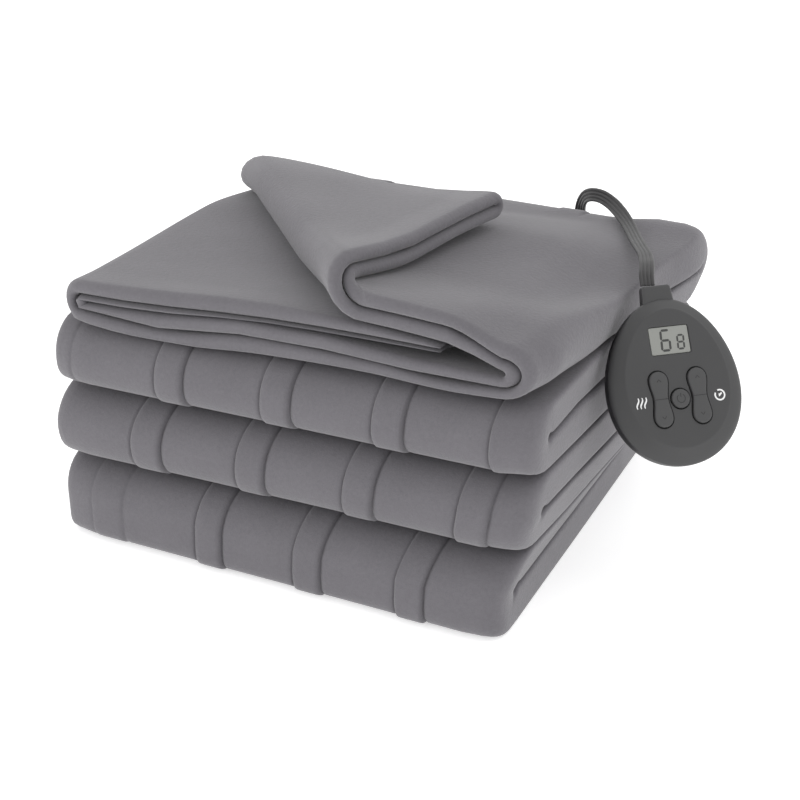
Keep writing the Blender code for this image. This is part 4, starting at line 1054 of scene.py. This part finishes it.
BUTTON_STEPS = 64
# The face from its rim to its flat middle: share of the way, and height in mm.
FACE_PROFILE = ((0.0, -5.9), (0.0, -5.5), (0.02, -5.1), (0.10, -4.2), (0.28, -3.1), (0.60, -1.65),
                (0.86, -0.62), (0.95, -0.24), (1.02, -0.05), (1.12, 0.0))
# The back from its flat end to the rim: share of the oval, and height in mm.
BACK_PROFILE = ((0.60, -22.0), (0.74, -21.8), (0.86, -20.4), (0.94, -17.4), (0.985, -13.6),
                (1.0, -9.3), (1.0, -6.0))
# A key's top edge: inset in mm, and height as a share of the key's rise.
KEY_EDGE = ((0.0, 0.45), (0.12, 0.72), (0.40, 0.90), (0.95, 0.985), (1.9, 1.0))


def face_axes():
    """Across, up and out directions of the controller's face."""
    out = np.array((math.sin(CONTROL_AZIMUTH) * math.cos(CONTROL_TILT),
                    -math.cos(CONTROL_AZIMUTH) * math.cos(CONTROL_TILT), math.sin(CONTROL_TILT)))
    across = np.array((math.cos(CONTROL_AZIMUTH), math.sin(CONTROL_AZIMUTH), 0.0))
    return np.array((across, np.cross(out, across), out))


def on_face(points, middle=(0.0, 0.0, 0.0)):
    """Points given across, up and out of the face, as places in the room."""
    return np.array(CONTROL_MIDDLE) + (np.asarray(points) + middle) @ face_axes()


def oval(steps, grow=0.0):
    """An oval that narrows upwards: x = a cos(t) (1 - k sin(t)), y = b sin(t)."""
    angle = np.linspace(0.0, 2.0 * np.pi, steps, endpoint=False)
    x = (SHELL_HALF_WIDTH + grow) * np.cos(angle) * (1.0 - SHELL_NARROWING * np.sin(angle))
    return np.stack((x, (SHELL_HALF_HEIGHT + grow) * np.sin(angle)), axis=1)


def peanut(steps, grow=0.0):
    """A rocker's outline: two round lobes, joined by a waist that eases into them."""
    angle = np.linspace(0.0, 2.0 * np.pi, steps, endpoint=False)
    y = (ROCKER_REACH + ROCKER_LOBE + grow) * np.sin(angle)
    waist = mix(ROCKER_WAIST, ROCKER_LOBE, ease(np.abs(y) / ROCKER_REACH)) + grow
    tip = np.maximum(np.abs(y) - ROCKER_REACH, 0.0)
    lobe = np.sqrt(np.maximum((ROCKER_LOBE + grow) ** 2 - tip ** 2, 0.0))
    return np.stack((np.sign(np.cos(angle)) * np.where(tip > 0.0, lobe, waist), y), axis=1)


def key_part(outline, middle):
    """A key: straight walls, then rings that round its top edge off."""
    levels = [(outline(0.0), -KEY_SINK)]
    levels += [(outline(-inset * MM), KEY_RISE * share) for inset, share in KEY_EDGE]
    points, faces = loft(stack_rings(levels))
    return on_face(points, middle), faces


def cut_pockets(piece, cutters):
    """Cut closed lofts out of a piece with exact Booleans, applied."""
    for number, (points, faces) in enumerate(cutters):
        mesh = bpy.data.meshes.new("pocket")
        mesh.from_pydata(points.tolist(), [], faces)
        cutter = bpy.data.objects.new("pocket", mesh)
        bpy.context.collection.objects.link(cutter)
        change = piece.modifiers.new(f"pocket_{number}", "BOOLEAN")
        change.operation = "DIFFERENCE"
        change.solver = "EXACT"
        change.object = cutter
        graph = bpy.context.evaluated_depsgraph_get()
        result = bpy.data.meshes.new_from_object(piece.evaluated_get(graph))
        piece.modifiers.clear()
        piece.data = result
        bpy.data.objects.remove(cutter, do_unlink=True)
    if len(piece.data.polygons) == 0:
        raise RuntimeError(f"{piece.name} has no faces left")
    piece.data.set_sharp_from_angle(angle=POCKET_SHARP)


def pocket(outline, floor, middle):
    """A cutter with a chamfered mouth, whose slope runs on a little above the face."""
    over = 0.5 * CHAMFER
    levels = ((outline(0.0), floor), (outline(0.0), -CHAMFER), (outline(CHAMFER + over), over),
              (outline(CHAMFER + over), POCKET_TOP))
    points, faces = loft(stack_rings(levels))
    return on_face(points, middle), faces


def stroke(points, width, middle, low, high, closed=False):
    """A raised line: each point of a path widened to both sides by half its width."""
    points = np.asarray(points, dtype=float)
    if closed:
        ahead = np.roll(points, -1, axis=0) - np.roll(points, 1, axis=0)
    else:
        ahead = np.gradient(points, axis=0)
    ahead /= np.linalg.norm(ahead, axis=1)[:, None]
    off = np.stack((-ahead[:, 1], ahead[:, 0]), axis=1) * np.reshape(width, (-1, 1)) / 2.0
    sides = ((points - off, low), (points + off, low), (points + off, high), (points - off, high))
    rings = np.stack([np.column_stack((flat, np.full(len(flat), z))) for flat, z in sides], axis=1)
    made, faces = loft(rings, looped=closed)
    return on_face(made, middle), faces


# ---------------------------------------------------------------- lead tables
# Route of the lead's middle over the stack and the direction of its flat width, in mm.
LEAD_OVER = (
    (172.8, -7.2, 183.5, 0.74, 0.67, 0.0),
    (171.2, -5.0, 187.3, 0.75, 0.66, 0.0),
    (167.6, 5.0, 190.6, 0.80, 0.60, 0.0),
    (160.5, 23.0, 190.4, 0.86, 0.51, 0.0),
    (147.5, 49.0, 187.2, 0.86, 0.51, 0.0),
    (137.3, 69.4, 184.2, 0.85, 0.53, 0.0),
    (128.2, 87.6, 182.4, 0.83, 0.55, 0.0),
    (117.9, 105.7, 181.9, 0.80, 0.58, 0.12),
    (107.6, 119.3, 183.5, 0.66, 0.60, 0.45),
    (98.0, 128.5, 185.6, 0.42, 0.52, 0.74),
    (89.0, 134.5, 186.8, 0.20, 0.42, 0.88),
    (80.5, 139.5, 185.6, -0.15, 0.46, 0.87),
    (72.6, 146.0, 181.0, -0.50, 0.50, 0.70),
    (67.4, 152.2, 172.5, -0.80, 0.40, 0.40),
    (65.6, 156.0, 160.0, -0.97, 0.10, 0.10),
    (65.6, 156.0, 145.0, -1.0, 0.0, 0.0),
    (66.0, 153.6, 125.0, -1.0, 0.0, 0.0),
    (66.0, 151.8, 100.0, -1.0, 0.0, 0.0),
    (66.0, 151.6, 75.0, -1.0, 0.0, 0.0),
    (66.0, 153.0, 50.0, -1.0, 0.0, 0.0),
    (66.0, 158.0, 29.0, -1.0, 0.0, 0.0),
    (66.0, 167.0, 12.5, -1.0, 0.0, 0.0),
    (66.0, 179.5, 4.4, -0.95, 0.0, 0.30),
    (66.0, 193.0, 4.8, -0.60, 0.0, 0.80),
    (66.0, 207.0, 5.4, -0.15, 0.0, 0.99),
)
LEAD_TAIL = (
    (-1.7, 275.2, 12.9, 0.10, 0.99, 0.0),
    (-14.0, 272.8, 13.2, 0.20, 0.98, 0.0),
    (-28.0, 268.8, 13.0, 0.25, 0.97, 0.0),
    (-42.0, 265.2, 11.6, 0.20, 0.98, 0.0),
    (-55.0, 262.8, 8.6, 0.12, 0.99, 0.0),
    (-69.5, 262.0, 6.7, 0.03, 1.0, 0.0),
)
COIL_MIDDLE = (7.0, 226.0)              # mm
COIL_START = 58.9                       # radius of the outermost turn's start, mm
COIL_PITCH = 3.8                        # from turn to turn, mm
COIL_HEIGHT = 5.5                       # of the lead's middle over the floor, mm
COIL_STEP = math.radians(12)
COIL_EXIT = math.radians(40)            # where the inner end starts to rise over the turns
# The inner end's rise over the turns: angle in degrees, radius, height, width out, up, mm.
COIL_RISE = (
    (52, 44.0, 7.4, 0.25, 0.97),
    (64, 44.8, 10.6, 0.60, 0.80),
    (76, 46.2, 12.6, 0.92, 0.38),
    (88, 48.2, 13.0, 1.0, 0.0),
)
LEAD_STEP = 3.4 * MM
RIBS = 4
WEB_SHARE, EDGE_SHARE = 0.55, 0.16      # of its thickness, at the web between ribs and at its edges
TIE_ANGLE = math.radians(215)
TIE_RADIUS = 50 * MM                    # from the coil's middle to the tie's
TIE_REACH, TIE_LOW, TIE_HIGH = 8.5 * MM, 0.65 * MM, 10.6 * MM
TIE_THICK, TIE_CORNER = 0.5 * MM, 2.0 * MM
TIE_HALF_WIDTH = 6.0                    # mm
PLUG_SIZE = (31 * MM, 24 * MM, 13 * MM)
PLUG_CORNER = 3.2 * MM
# The plug from the lead on: distance in mm, and share of its full size.
PLUG_PROFILE = ((0.0, 0.50), (1.0, 0.58), (5.0, 0.66), (9.0, 0.82), (13.0, 0.97), (16.0, 1.0),
                (29.3, 1.0), (30.4, 0.975), (31.0, 0.92))
GRIP_FROM, GRIP_TO, GRIP_PITCH = 14.5, 27.8, 1.9        # mm
GRIP_DEPTH = 0.035                      # as a share of the plug's size
PLUG_END = np.array((-68.4, 262.0, 6.7)) * MM
BLADE_SIZE = (1.6 * MM, 6.4 * MM)
BLADE_CORNER = 0.3 * MM
# A blade from the plug on: distance in mm, and share of its thickness.
BLADE_PROFILE = ((0.0, 1.0), (13.2, 1.0), (14.8, 0.86), (15.7, 0.66), (16.0, 0.50))
BLADE_SPACING = 12.7 * MM


def coil_rows(turns):
    """The spiral's rows: radius = start - pitch * turns done, its width upright."""
    angle = np.arange(COIL_STEP, 2.0 * math.pi * turns + COIL_EXIT, COIL_STEP)
    radius = COIL_START - COIL_PITCH * angle / (2.0 * math.pi)
    rows = np.zeros((len(angle), 6))
    rows[:, 0] = COIL_MIDDLE[0] + radius * np.cos(angle)
    rows[:, 1] = COIL_MIDDLE[1] + radius * np.sin(angle)
    rows[:, 2] = COIL_HEIGHT
    rows[:, 5] = 1.0
    return rows


def rise_rows():
    """The inner end, given round the coil's middle, as rows of the route."""
    angle, radius, height, out, up = np.array(COIL_RISE, dtype=float).T
    cos, sin = np.cos(np.radians(angle)), np.sin(np.radians(angle))
    return np.stack((COIL_MIDDLE[0] + radius * cos, COIL_MIDDLE[1] + radius * sin, height,
                     out * cos, out * sin, up), axis=1)


def lead_outline(width, thickness):
    """Four round ribs side by side: each side's height is the ribs' arc, over a thin web."""
    radius = width / RIBS / 2.0
    across = np.linspace(-1.0, 1.0, 6 * RIBS + 1)
    x = across * width / 2.0
    off = (np.mod(x + width / 2.0, 2.0 * radius) - radius) / radius
    off[-1] = 1.0
    high = thickness / 2.0 * np.maximum(np.sqrt(np.clip(1.0 - off ** 2, 0.0, 1.0)), WEB_SHARE)
    high[[0, -1]] = thickness * EDGE_SHARE
    return np.concatenate((np.stack((x, -high), axis=1), np.stack((x, high), axis=1)[::-1]))


# ---------------------------------------------------------------- stage tables
SENSOR_WIDTH = 36.0             # of the camera, in its own millimetres
FLOOR_REACH = 5.0               # metres
LAMP_TARGET = (0.0, 0.0, 0.1)
# Name, place, size in metres, and share of the key light's power.
LAMPS = (
    ("left", (-1.7, -1.3, 0.7), 0.9, 1.1),
    ("over", (0.8, 0.5, 1.7), 1.5, 0.45),
    ("right", (1.7, -0.9, 0.35), 0.8, 0.15),
)


# ---------------------------------------------------------------- operators
class StageOperator(bpy.types.Operator):
    """Set the camera at the photograph's angle, the pale floor and the soft lights"""
    bl_idname = "heated_blanket.stage"
    bl_label = "Stage"

    def execute(self, context):
        studio = settings("studio")
        target = Vector((0.0, 0.0, studio.target_height))
        flat = math.cos(studio.elevation)
        back = Vector((math.sin(studio.azimuth) * flat, -math.cos(studio.azimuth) * flat,
                       math.sin(studio.elevation)))
        lens = bpy.data.cameras.new("camera")
        lens.lens = studio.lens
        lens.sensor_width = SENSOR_WIDTH
        camera = bpy.data.objects.new("camera", lens)
        camera.location = target + back * studio.distance
        camera.rotation_euler = (-back).to_track_quat("-Z", "Y").to_euler()
        context.collection.objects.link(camera)
        context.scene.camera = camera
        self.floor(context)
        self.lights(context, studio)
        return {"FINISHED"}

    def floor(self, context):
        """A large pale sheet under the object."""
        mesh = bpy.data.meshes.new("floor")
        corners = [(x * FLOOR_REACH, y * FLOOR_REACH, 0.0)
                   for x, y in ((-1, -1), (1, -1), (1, 1), (-1, 1))]
        mesh.from_pydata(corners, [], [(0, 1, 2, 3)])
        paint = plain_finish("floor_paint", (0.86, 0.86, 0.86), 0.7, 3.0)
        shader = paint.node_tree.nodes["Principled BSDF"]
        shader.inputs["Emission Color"].default_value = (1.0, 1.0, 1.0, 1.0)
        shader.inputs["Emission Strength"].default_value = settings("studio").floor_glow
        mesh.materials.append(paint)
        floor = bpy.data.objects.new("floor", mesh)
        context.collection.objects.link(floor)

    def lights(self, context, studio):
        """A white surround, a large light at the front left, a soft one above and a faint one right."""
        world = bpy.data.worlds.new("surround")
        world.use_nodes = True
        sky = world.node_tree.nodes["Background"]
        sky.inputs["Color"].default_value = (1.0, 1.0, 1.0, 1.0)
        sky.inputs["Strength"].default_value = studio.sky
        context.scene.world = world
        context.scene.view_settings.view_transform = "Standard"
        for name, place, size, share in LAMPS:
            lamp = bpy.data.lights.new(name, "AREA")
            lamp.size = size
            lamp.energy = studio.key * share
            light = bpy.data.objects.new(name, lamp)
            light.location = place
            away = Vector(place) - Vector(LAMP_TARGET)
            light.rotation_euler = away.to_track_quat("Z", "Y").to_euler()
            context.collection.objects.link(light)


class LeadOperator(bpy.types.Operator):
    """Lay the ribbed flat lead over the stack, down its back and into a coil, with its plug and tie"""
    bl_idname = "heated_blanket.lead"
    bl_label = "Lead"

    def execute(self, context):
        lead = settings("lead")
        rows = np.concatenate((np.array(LEAD_OVER), coil_rows(lead.turns), rise_rows(),
                               np.array(LEAD_TAIL)))
        rows[:, :3] *= MM
        rough_length = np.linalg.norm(np.diff(rows[:, :3], axis=0), axis=1).sum()
        route = curve_through(rows, int(round(rough_length / LEAD_STEP)))
        middle = route[:, :3]
        wide, thin = side_ways(middle, route[:, 3:])
        piece = add_piece("lead", [swept(middle, wide, thin,
                                         lead_outline(lead.width, lead.thickness))],
                          rubber_finish("lead_jacket", tuple(lead.colour), 0.42),
                          replaces=("lead_over", "lead_coil", "lead_tail"), sharp=60.0)
        plug = self.plug(lead)
        tie = self.tie()
        return {"FINISHED"}

    def plug(self, lead):
        """A moulded plug: rings along X from the lead's jacket to the flat end, with grip ridges."""
        long, wide, thick = PLUG_SIZE
        stations = np.array(PLUG_PROFILE)
        x = np.sort(np.concatenate((np.linspace(0.0, stations[-1, 0], 56), stations[:, 0])))
        ridges = GRIP_DEPTH * np.maximum(np.sin((x - GRIP_FROM) / GRIP_PITCH * math.pi), 0.0)
        share = np.interp(x, *stations.T) - ridges * ((x > GRIP_FROM) & (x < GRIP_TO))
        rings = []
        for at, grow in zip(x * MM, share):
            outline = soft_box(wide * grow, thick * mix(grow, 1.0, 0.3), PLUG_CORNER * grow)
            rings.append(PLUG_END + np.column_stack((np.full(len(outline), -at), outline)))
        body = add_piece("plug", [loft(rings)], rubber_finish("plug_body", tuple(lead.plug), 0.5),
                         replaces=("plug_body",))
        metal = plated_finish((0.75, 0.73, 0.68))
        blades = [body]
        for name, step in (("near", -0.5), ("far", 0.5)):
            foot = PLUG_END + (-long - 0.02 * MM, step * BLADE_SPACING, 0.0)
            rings = []
            for at, grow in BLADE_PROFILE:
                outline = soft_box(BLADE_SIZE[0] * grow, BLADE_SIZE[1] * mix(grow, 1.0, 0.4),
                                   BLADE_CORNER * grow, 2)
                rings.append(foot + np.column_stack((np.full(len(outline), -at * MM), outline)))
            blades.append(add_piece(f"blade_{name}", [loft(rings)], metal,
                                    replaces=(f"plug_blade_{name}",)))
        return blades

    def tie(self):
        """A woven strap round the turns: a soft rectangle swept across its width."""
        along = np.linspace(-TIE_HALF_WIDTH, TIE_HALF_WIDTH, 13) * MM
        edge = np.sqrt(1.0 - (along / ((TIE_HALF_WIDTH + 0.3) * MM)) ** 8)
        turn = np.array(Matrix.Rotation(TIE_ANGLE, 3, "Z")).T
        rings = []
        for shell, order in ((0.0, 1), (TIE_THICK, -1)):
            for at, full in list(zip(along, edge))[::order]:
                grow = shell * full
                outline = soft_box(2.0 * (TIE_REACH + grow), TIE_HIGH - TIE_LOW + 2.0 * grow,
                                   TIE_CORNER + grow)
                ring = np.column_stack((TIE_RADIUS + outline[:, 0], np.full(len(outline), at),
                                        (TIE_HIGH + TIE_LOW) / 2.0 + outline[:, 1]))
                rings.append(ring @ turn + (COIL_MIDDLE[0] * MM, COIL_MIDDLE[1] * MM, 0.0))
        return add_piece("strap", [loft(rings, looped=True)], woven_finish((0.025, 0.025, 0.027)),
                         replaces=("coil_tie",), sharp=50.0)


class BlanketOperator(bpy.types.Operator):
    """Fold the fleece sheet into its stack, with its wire channels, hems and turned-back corner"""
    bl_idname = "heated_blanket.blanket"
    bl_label = "Blanket"

    def execute(self, context):
        cloth = settings("blanket")
        rings, seams = blanket_rings()
        count, around = rings.shape[:2]
        faces = np.concatenate((grid_faces(count, around), ladder_cap(around, 0, True),
                                ladder_cap(around, (count - 1) * around, False)))[:, ::-1]
        piece = add_piece("fleece", [(rings, faces)], fleece_finish(tuple(cloth.colour)),
                          replaces=("blanket",), sharp=75.0)
        # The seam attribute is the mask for the shade painted into the seam grooves.
        marks = piece.data.attributes.new("seam", "FLOAT", "POINT")
        marks.data.foreach_set("value", seams.ravel())
        return {"FINISHED"}


class ControllerOperator(bpy.types.Operator):
    """Mould the controller's two shells and the tab that the lead comes out of"""
    bl_idname = "heated_blanket.controller"
    bl_label = "Controller shells"

    def execute(self, context):
        control = settings("control")
        outer = oval(SHELL_STEPS)
        flat = outer * PLATEAU + (0.0, PLATEAU_RISE)
        shares = curve_through(BACK_PROFILE, REAR_STEPS, np.linspace(0.0, 1.0, len(BACK_PROFILE)))
        points, faces = loft(stack_rings([(outer * min(share, 1.0), z * MM) for share, z in shares]))
        add_piece("lower_shell", [(on_face(points), faces)],
                  moulded_finish("black_shell", tuple(control.shell), 0.42),
                  replaces=("controller_base",))
        face_paint = moulded_finish("dark_grey_face", tuple(control.face), 0.40)
        shares = curve_through(FACE_PROFILE, FACE_STEPS, np.linspace(0.0, 1.0, len(FACE_PROFILE)))
        levels = [(mix(outer, flat, share), min(z, 0.0) * MM) for share, z in shares]
        points, faces = loft(stack_rings(levels))
        face = add_piece("upper_shell", [(on_face(points), faces)], face_paint,
                         replaces=("controller_face",))
        floor = -DISPLAY_RECESS - DISPLAY_THICK - TOUCH
        cutters = [pocket(lambda grow: soft_box(DISPLAY_SIZE[0] + 2 * (TOUCH + grow),
                                                DISPLAY_SIZE[1] + 2 * (TOUCH + grow),
                                                DISPLAY_POCKET_CORNER),
                          floor, (*DISPLAY_MIDDLE, 0.0))]
        for x in (-ROCKER_X, ROCKER_X):
            cutters.append(pocket(lambda grow: peanut(PEANUT_STEPS, KEY_GAP + grow), -POCKET_SINK,
                                  (x, ROCKER_Y, 0.0)))
        cutters.append(pocket(lambda grow: circle(POWER_RADIUS + KEY_GAP + grow, BUTTON_STEPS),
                              -POCKET_SINK, (0.0, POWER_Y, 0.0)))
        cut_pockets(face, cutters)
        self.gland(face_paint)
        return {"FINISHED"}

    def gland(self, paint):
        """The tab: a rounded box along the lead, slightly tapered, with a rounded tip."""
        foot = SHELL_HALF_HEIGHT - GLAND_SINK
        tip = SHELL_HALF_HEIGHT + GLAND_LENGTH
        rings = []
        for y, share in ((foot, 1.10), (foot + 4 * MM, 1.05), (tip - 2 * MM, 1.0),
                         (tip - 0.9 * MM, 0.985), (tip - 0.3 * MM, 0.95), (tip, 0.90)):
            outline = soft_box(2 * GLAND_HALF_WIDTH * share, GLAND_THICK * share, GLAND_CORNER)
            rings.append(np.column_stack((outline[:, 0], np.full(len(outline), y), outline[:, 1])))
        points, faces = loft(rings)
        add_piece("tab", [(on_face(points, (GLAND_X, 0.0, GLAND_DEPTH)), faces)], paint,
                  replaces=("lead_gland",))


class DisplayOperator(bpy.types.Operator):
    """Set the display panel with its two seven-segment digits"""
    bl_idname = "heated_blanket.display"
    bl_label = "Display"

    gap = 0.22                  # mm, from a bar's end to its corner
    slant = 0.05                # sideways for each millimetre up
    thick = 0.04 * MM
    tip = 0.08                  # a bar's width at its ends, as a share
    # Segments of a digit: from and to, in half widths and half heights.
    segments = {
        "top": ((-1, 1), (1, 1)), "middle": ((-1, 0), (1, 0)), "bottom": ((-1, -1), (1, -1)),
        "upper_left": ((-1, 1), (-1, 0)), "upper_right": ((1, 1), (1, 0)),
        "lower_left": ((-1, 0), (-1, -1)), "lower_right": ((1, 0), (1, -1)),
    }

    def execute(self, context):
        control = settings("control")
        wide, high = DISPLAY_SIZE
        edge = soft_box(wide, high, DISPLAY_CORNER)
        top = soft_box(wide - DISPLAY_BEVEL, high - DISPLAY_BEVEL, DISPLAY_CORNER - 0.1 * MM)
        levels = ((edge, -DISPLAY_RECESS - DISPLAY_THICK), (edge, -DISPLAY_RECESS - 0.2 * MM),
                  (top, -DISPLAY_RECESS))
        points, faces = loft(stack_rings(levels))
        add_piece("display_panel", [(on_face(points, (*DISPLAY_MIDDLE, 0.0)), faces)],
                  panel_finish(tuple(control.panel)), replaces=("display_window",))
        ink = plain_finish("display_ink", (0.035, 0.036, 0.034), 0.4)
        six = self.digit((-2.6, 0.1), (2.7, 6.2), 1.45, "upper_right")
        eight = self.digit((7.1, -1.7), (2.0, 4.2), 1.2, None)
        add_piece("digits", six + eight, ink)
        return {"FINISHED"}

    def digit(self, middle, half, width, unlit):
        """Hexagonal bars: each runs between its ends, less a small gap, and tapers to points.

        The middle of the digit, its half size and the bars' width are in mm.
        """
        bars = []
        for name, (start, end) in self.segments.items():
            if name == unlit:
                continue
            start, end = (np.array(point) * half for point in (start, end))
            way = (end - start) / np.linalg.norm(end - start)
            start, end = start + self.gap * way, end - self.gap * way
            line = np.array((start, start + way * width / 2.0, end - way * width / 2.0, end))
            line[:, 0] += line[:, 1] * self.slant
            widths = np.array((self.tip, 1.0, 1.0, self.tip)) * width * MM
            bars.append(stroke((line + middle) * MM, widths, (*DISPLAY_MIDDLE, 0.0),
                               -DISPLAY_RECESS, self.thick - DISPLAY_RECESS))
        return bars


class KeysOperator(bpy.types.Operator):
    """Set the two rockers and the power key, with their moulded marks"""
    bl_idname = "heated_blanket.keys"
    bl_label = "Keys"

    line_width = 0.5 * MM
    waist_line = np.array(((-4.3, 0.0), (4.3, 0.0))) * MM
    power_line = np.array(((0.0, 0.9), (0.0, 3.3))) * MM
    arrow = np.array(((-1.3, -1.5), (0.0, 0.0), (1.3, -1.5)))       # mm

    def execute(self, context):
        control = settings("control")
        rubber = moulded_finish("grey_keys", tuple(control.keys), 0.52, 0.00005, 2600.0)
        mark = plain_finish("key_marks", (0.018, 0.018, 0.019), 0.6)
        top = (KEY_RISE - PRINT_SINK, KEY_RISE + PRINT_RISE)
        for side, x in (("left", -ROCKER_X), ("right", ROCKER_X)):
            body = f"{side}_rocker"
            middle = (x, ROCKER_Y, 0.0)
            add_piece(f"{side}_key", [key_part(lambda more: peanut(PEANUT_STEPS, more), middle)],
                      rubber, body, (f"rocker_{side}",))
            marks = [stroke(self.waist_line, 0.45 * MM, middle, *top)]
            for way in (1.0, -1.0):
                point = self.arrow + (0.0, ROCKER_REACH / MM + 0.9)
                marks.append(stroke(point * (1.0, way) * MM, self.line_width, middle, *top))
            add_piece(f"{side}_marks", marks, mark, body)
        middle = (0.0, POWER_Y, 0.0)
        button = key_part(lambda more: circle(POWER_RADIUS + more, BUTTON_STEPS), middle)
        add_piece("power_button", [button], rubber, "power", ("power_key",))
        ring = circle(2.6 * MM, 30, math.radians(125), math.radians(290), True)
        add_piece("power_mark", [stroke(line, self.line_width, middle, *top)
                                 for line in (ring, self.power_line)], mark, "power")
        return {"FINISHED"}


class IconsOperator(bpy.types.Operator):
    """Print the heat waves and the timer ring on the face"""
    bl_idname = "heated_blanket.icons"
    bl_label = "Printed icons"

    heat_middle = (-25.2 * MM, -11.5 * MM, 0.0)
    timer_middle = (25.9 * MM, -11.8 * MM, 0.0)
    wave_reach, wave_apart = 3.3, 2.5           # mm
    hand = np.array(((-0.55, -0.45), (1.35, 1.15))) * MM
    hand_foot = np.array(((-0.35, 0.85), (-0.35, -0.9))) * MM

    def execute(self, context):
        paint = plain_finish("white_print", tuple(settings("control").print_colour), 0.5)
        along = np.linspace(-self.wave_reach, self.wave_reach, 17)
        bend = 0.55 * np.sin(along / self.wave_reach * math.pi * 0.95) + along * 0.16
        width = mix(0.45, 0.95, bell(along / 3.0)) * MM
        heat = [stroke(np.stack((bend + step, along), axis=1) * MM, width, self.heat_middle,
                       -PRINT_SINK, PRINT_RISE)
                for step in (-self.wave_apart, 0.0, self.wave_apart)]
        add_piece("heat_icon", heat, paint)
        ring = circle(3.1 * MM, 40, math.radians(112), -math.radians(322), True)
        timer = [stroke(line, width, self.timer_middle, -PRINT_SINK, rise)
                 for line, width, rise in ((ring, 0.95 * MM, PRINT_RISE),
                                           (self.hand, 0.95 * MM, PRINT_RISE),
                                           (self.hand_foot, 0.75 * MM, 0.9 * PRINT_RISE))]
        add_piece("timer_icon", timer, paint)
        return {"FINISHED"}


class PiecesPanel(bpy.types.Panel):
    """The pieces, each with its button"""
    bl_idname = "VIEW3D_PT_heated_blanket"
    bl_label = "Heated Blanket"
    bl_space_type = "VIEW_3D"
    bl_region_type = "UI"
    bl_category = "Heated Blanket"

    def draw(self, context):
        for operator in OPERATORS:
            self.layout.operator(operator.bl_idname)
        for group in GROUPS:
            box = self.layout.box()
            box.label(text=group)
            for name in GROUPS[group].__annotations__:
                box.prop(settings(group), name)


GROUPS = {"studio": StudioSettings, "blanket": BlanketSettings, "control": ControlSettings,
          "lead": LeadSettings}
OPERATORS = (StageOperator, LeadOperator, BlanketOperator, ControllerOperator, DisplayOperator,
             KeysOperator, IconsOperator)


def register():
    """Add the settings, the operators and the panel."""
    for kind in (*GROUPS.values(), *OPERATORS, PiecesPanel):
        bpy.utils.register_class(kind)
    for name, kind in GROUPS.items():
        setattr(bpy.types.Scene, f"heated_blanket_{name}", PointerProperty(type=kind))


def unregister():
    """Take them away again."""
    for name in GROUPS:
        delattr(bpy.types.Scene, f"heated_blanket_{name}")
    for kind in reversed((*GROUPS.values(), *OPERATORS, PiecesPanel)):
        bpy.utils.unregister_class(kind)


def main():
    """Build every piece in order."""
    register()
    for operator in OPERATORS:
        group, name = operator.bl_idname.split(".")
        getattr(getattr(bpy.ops, group), name)()


if __name__ == "__main__":
    main()
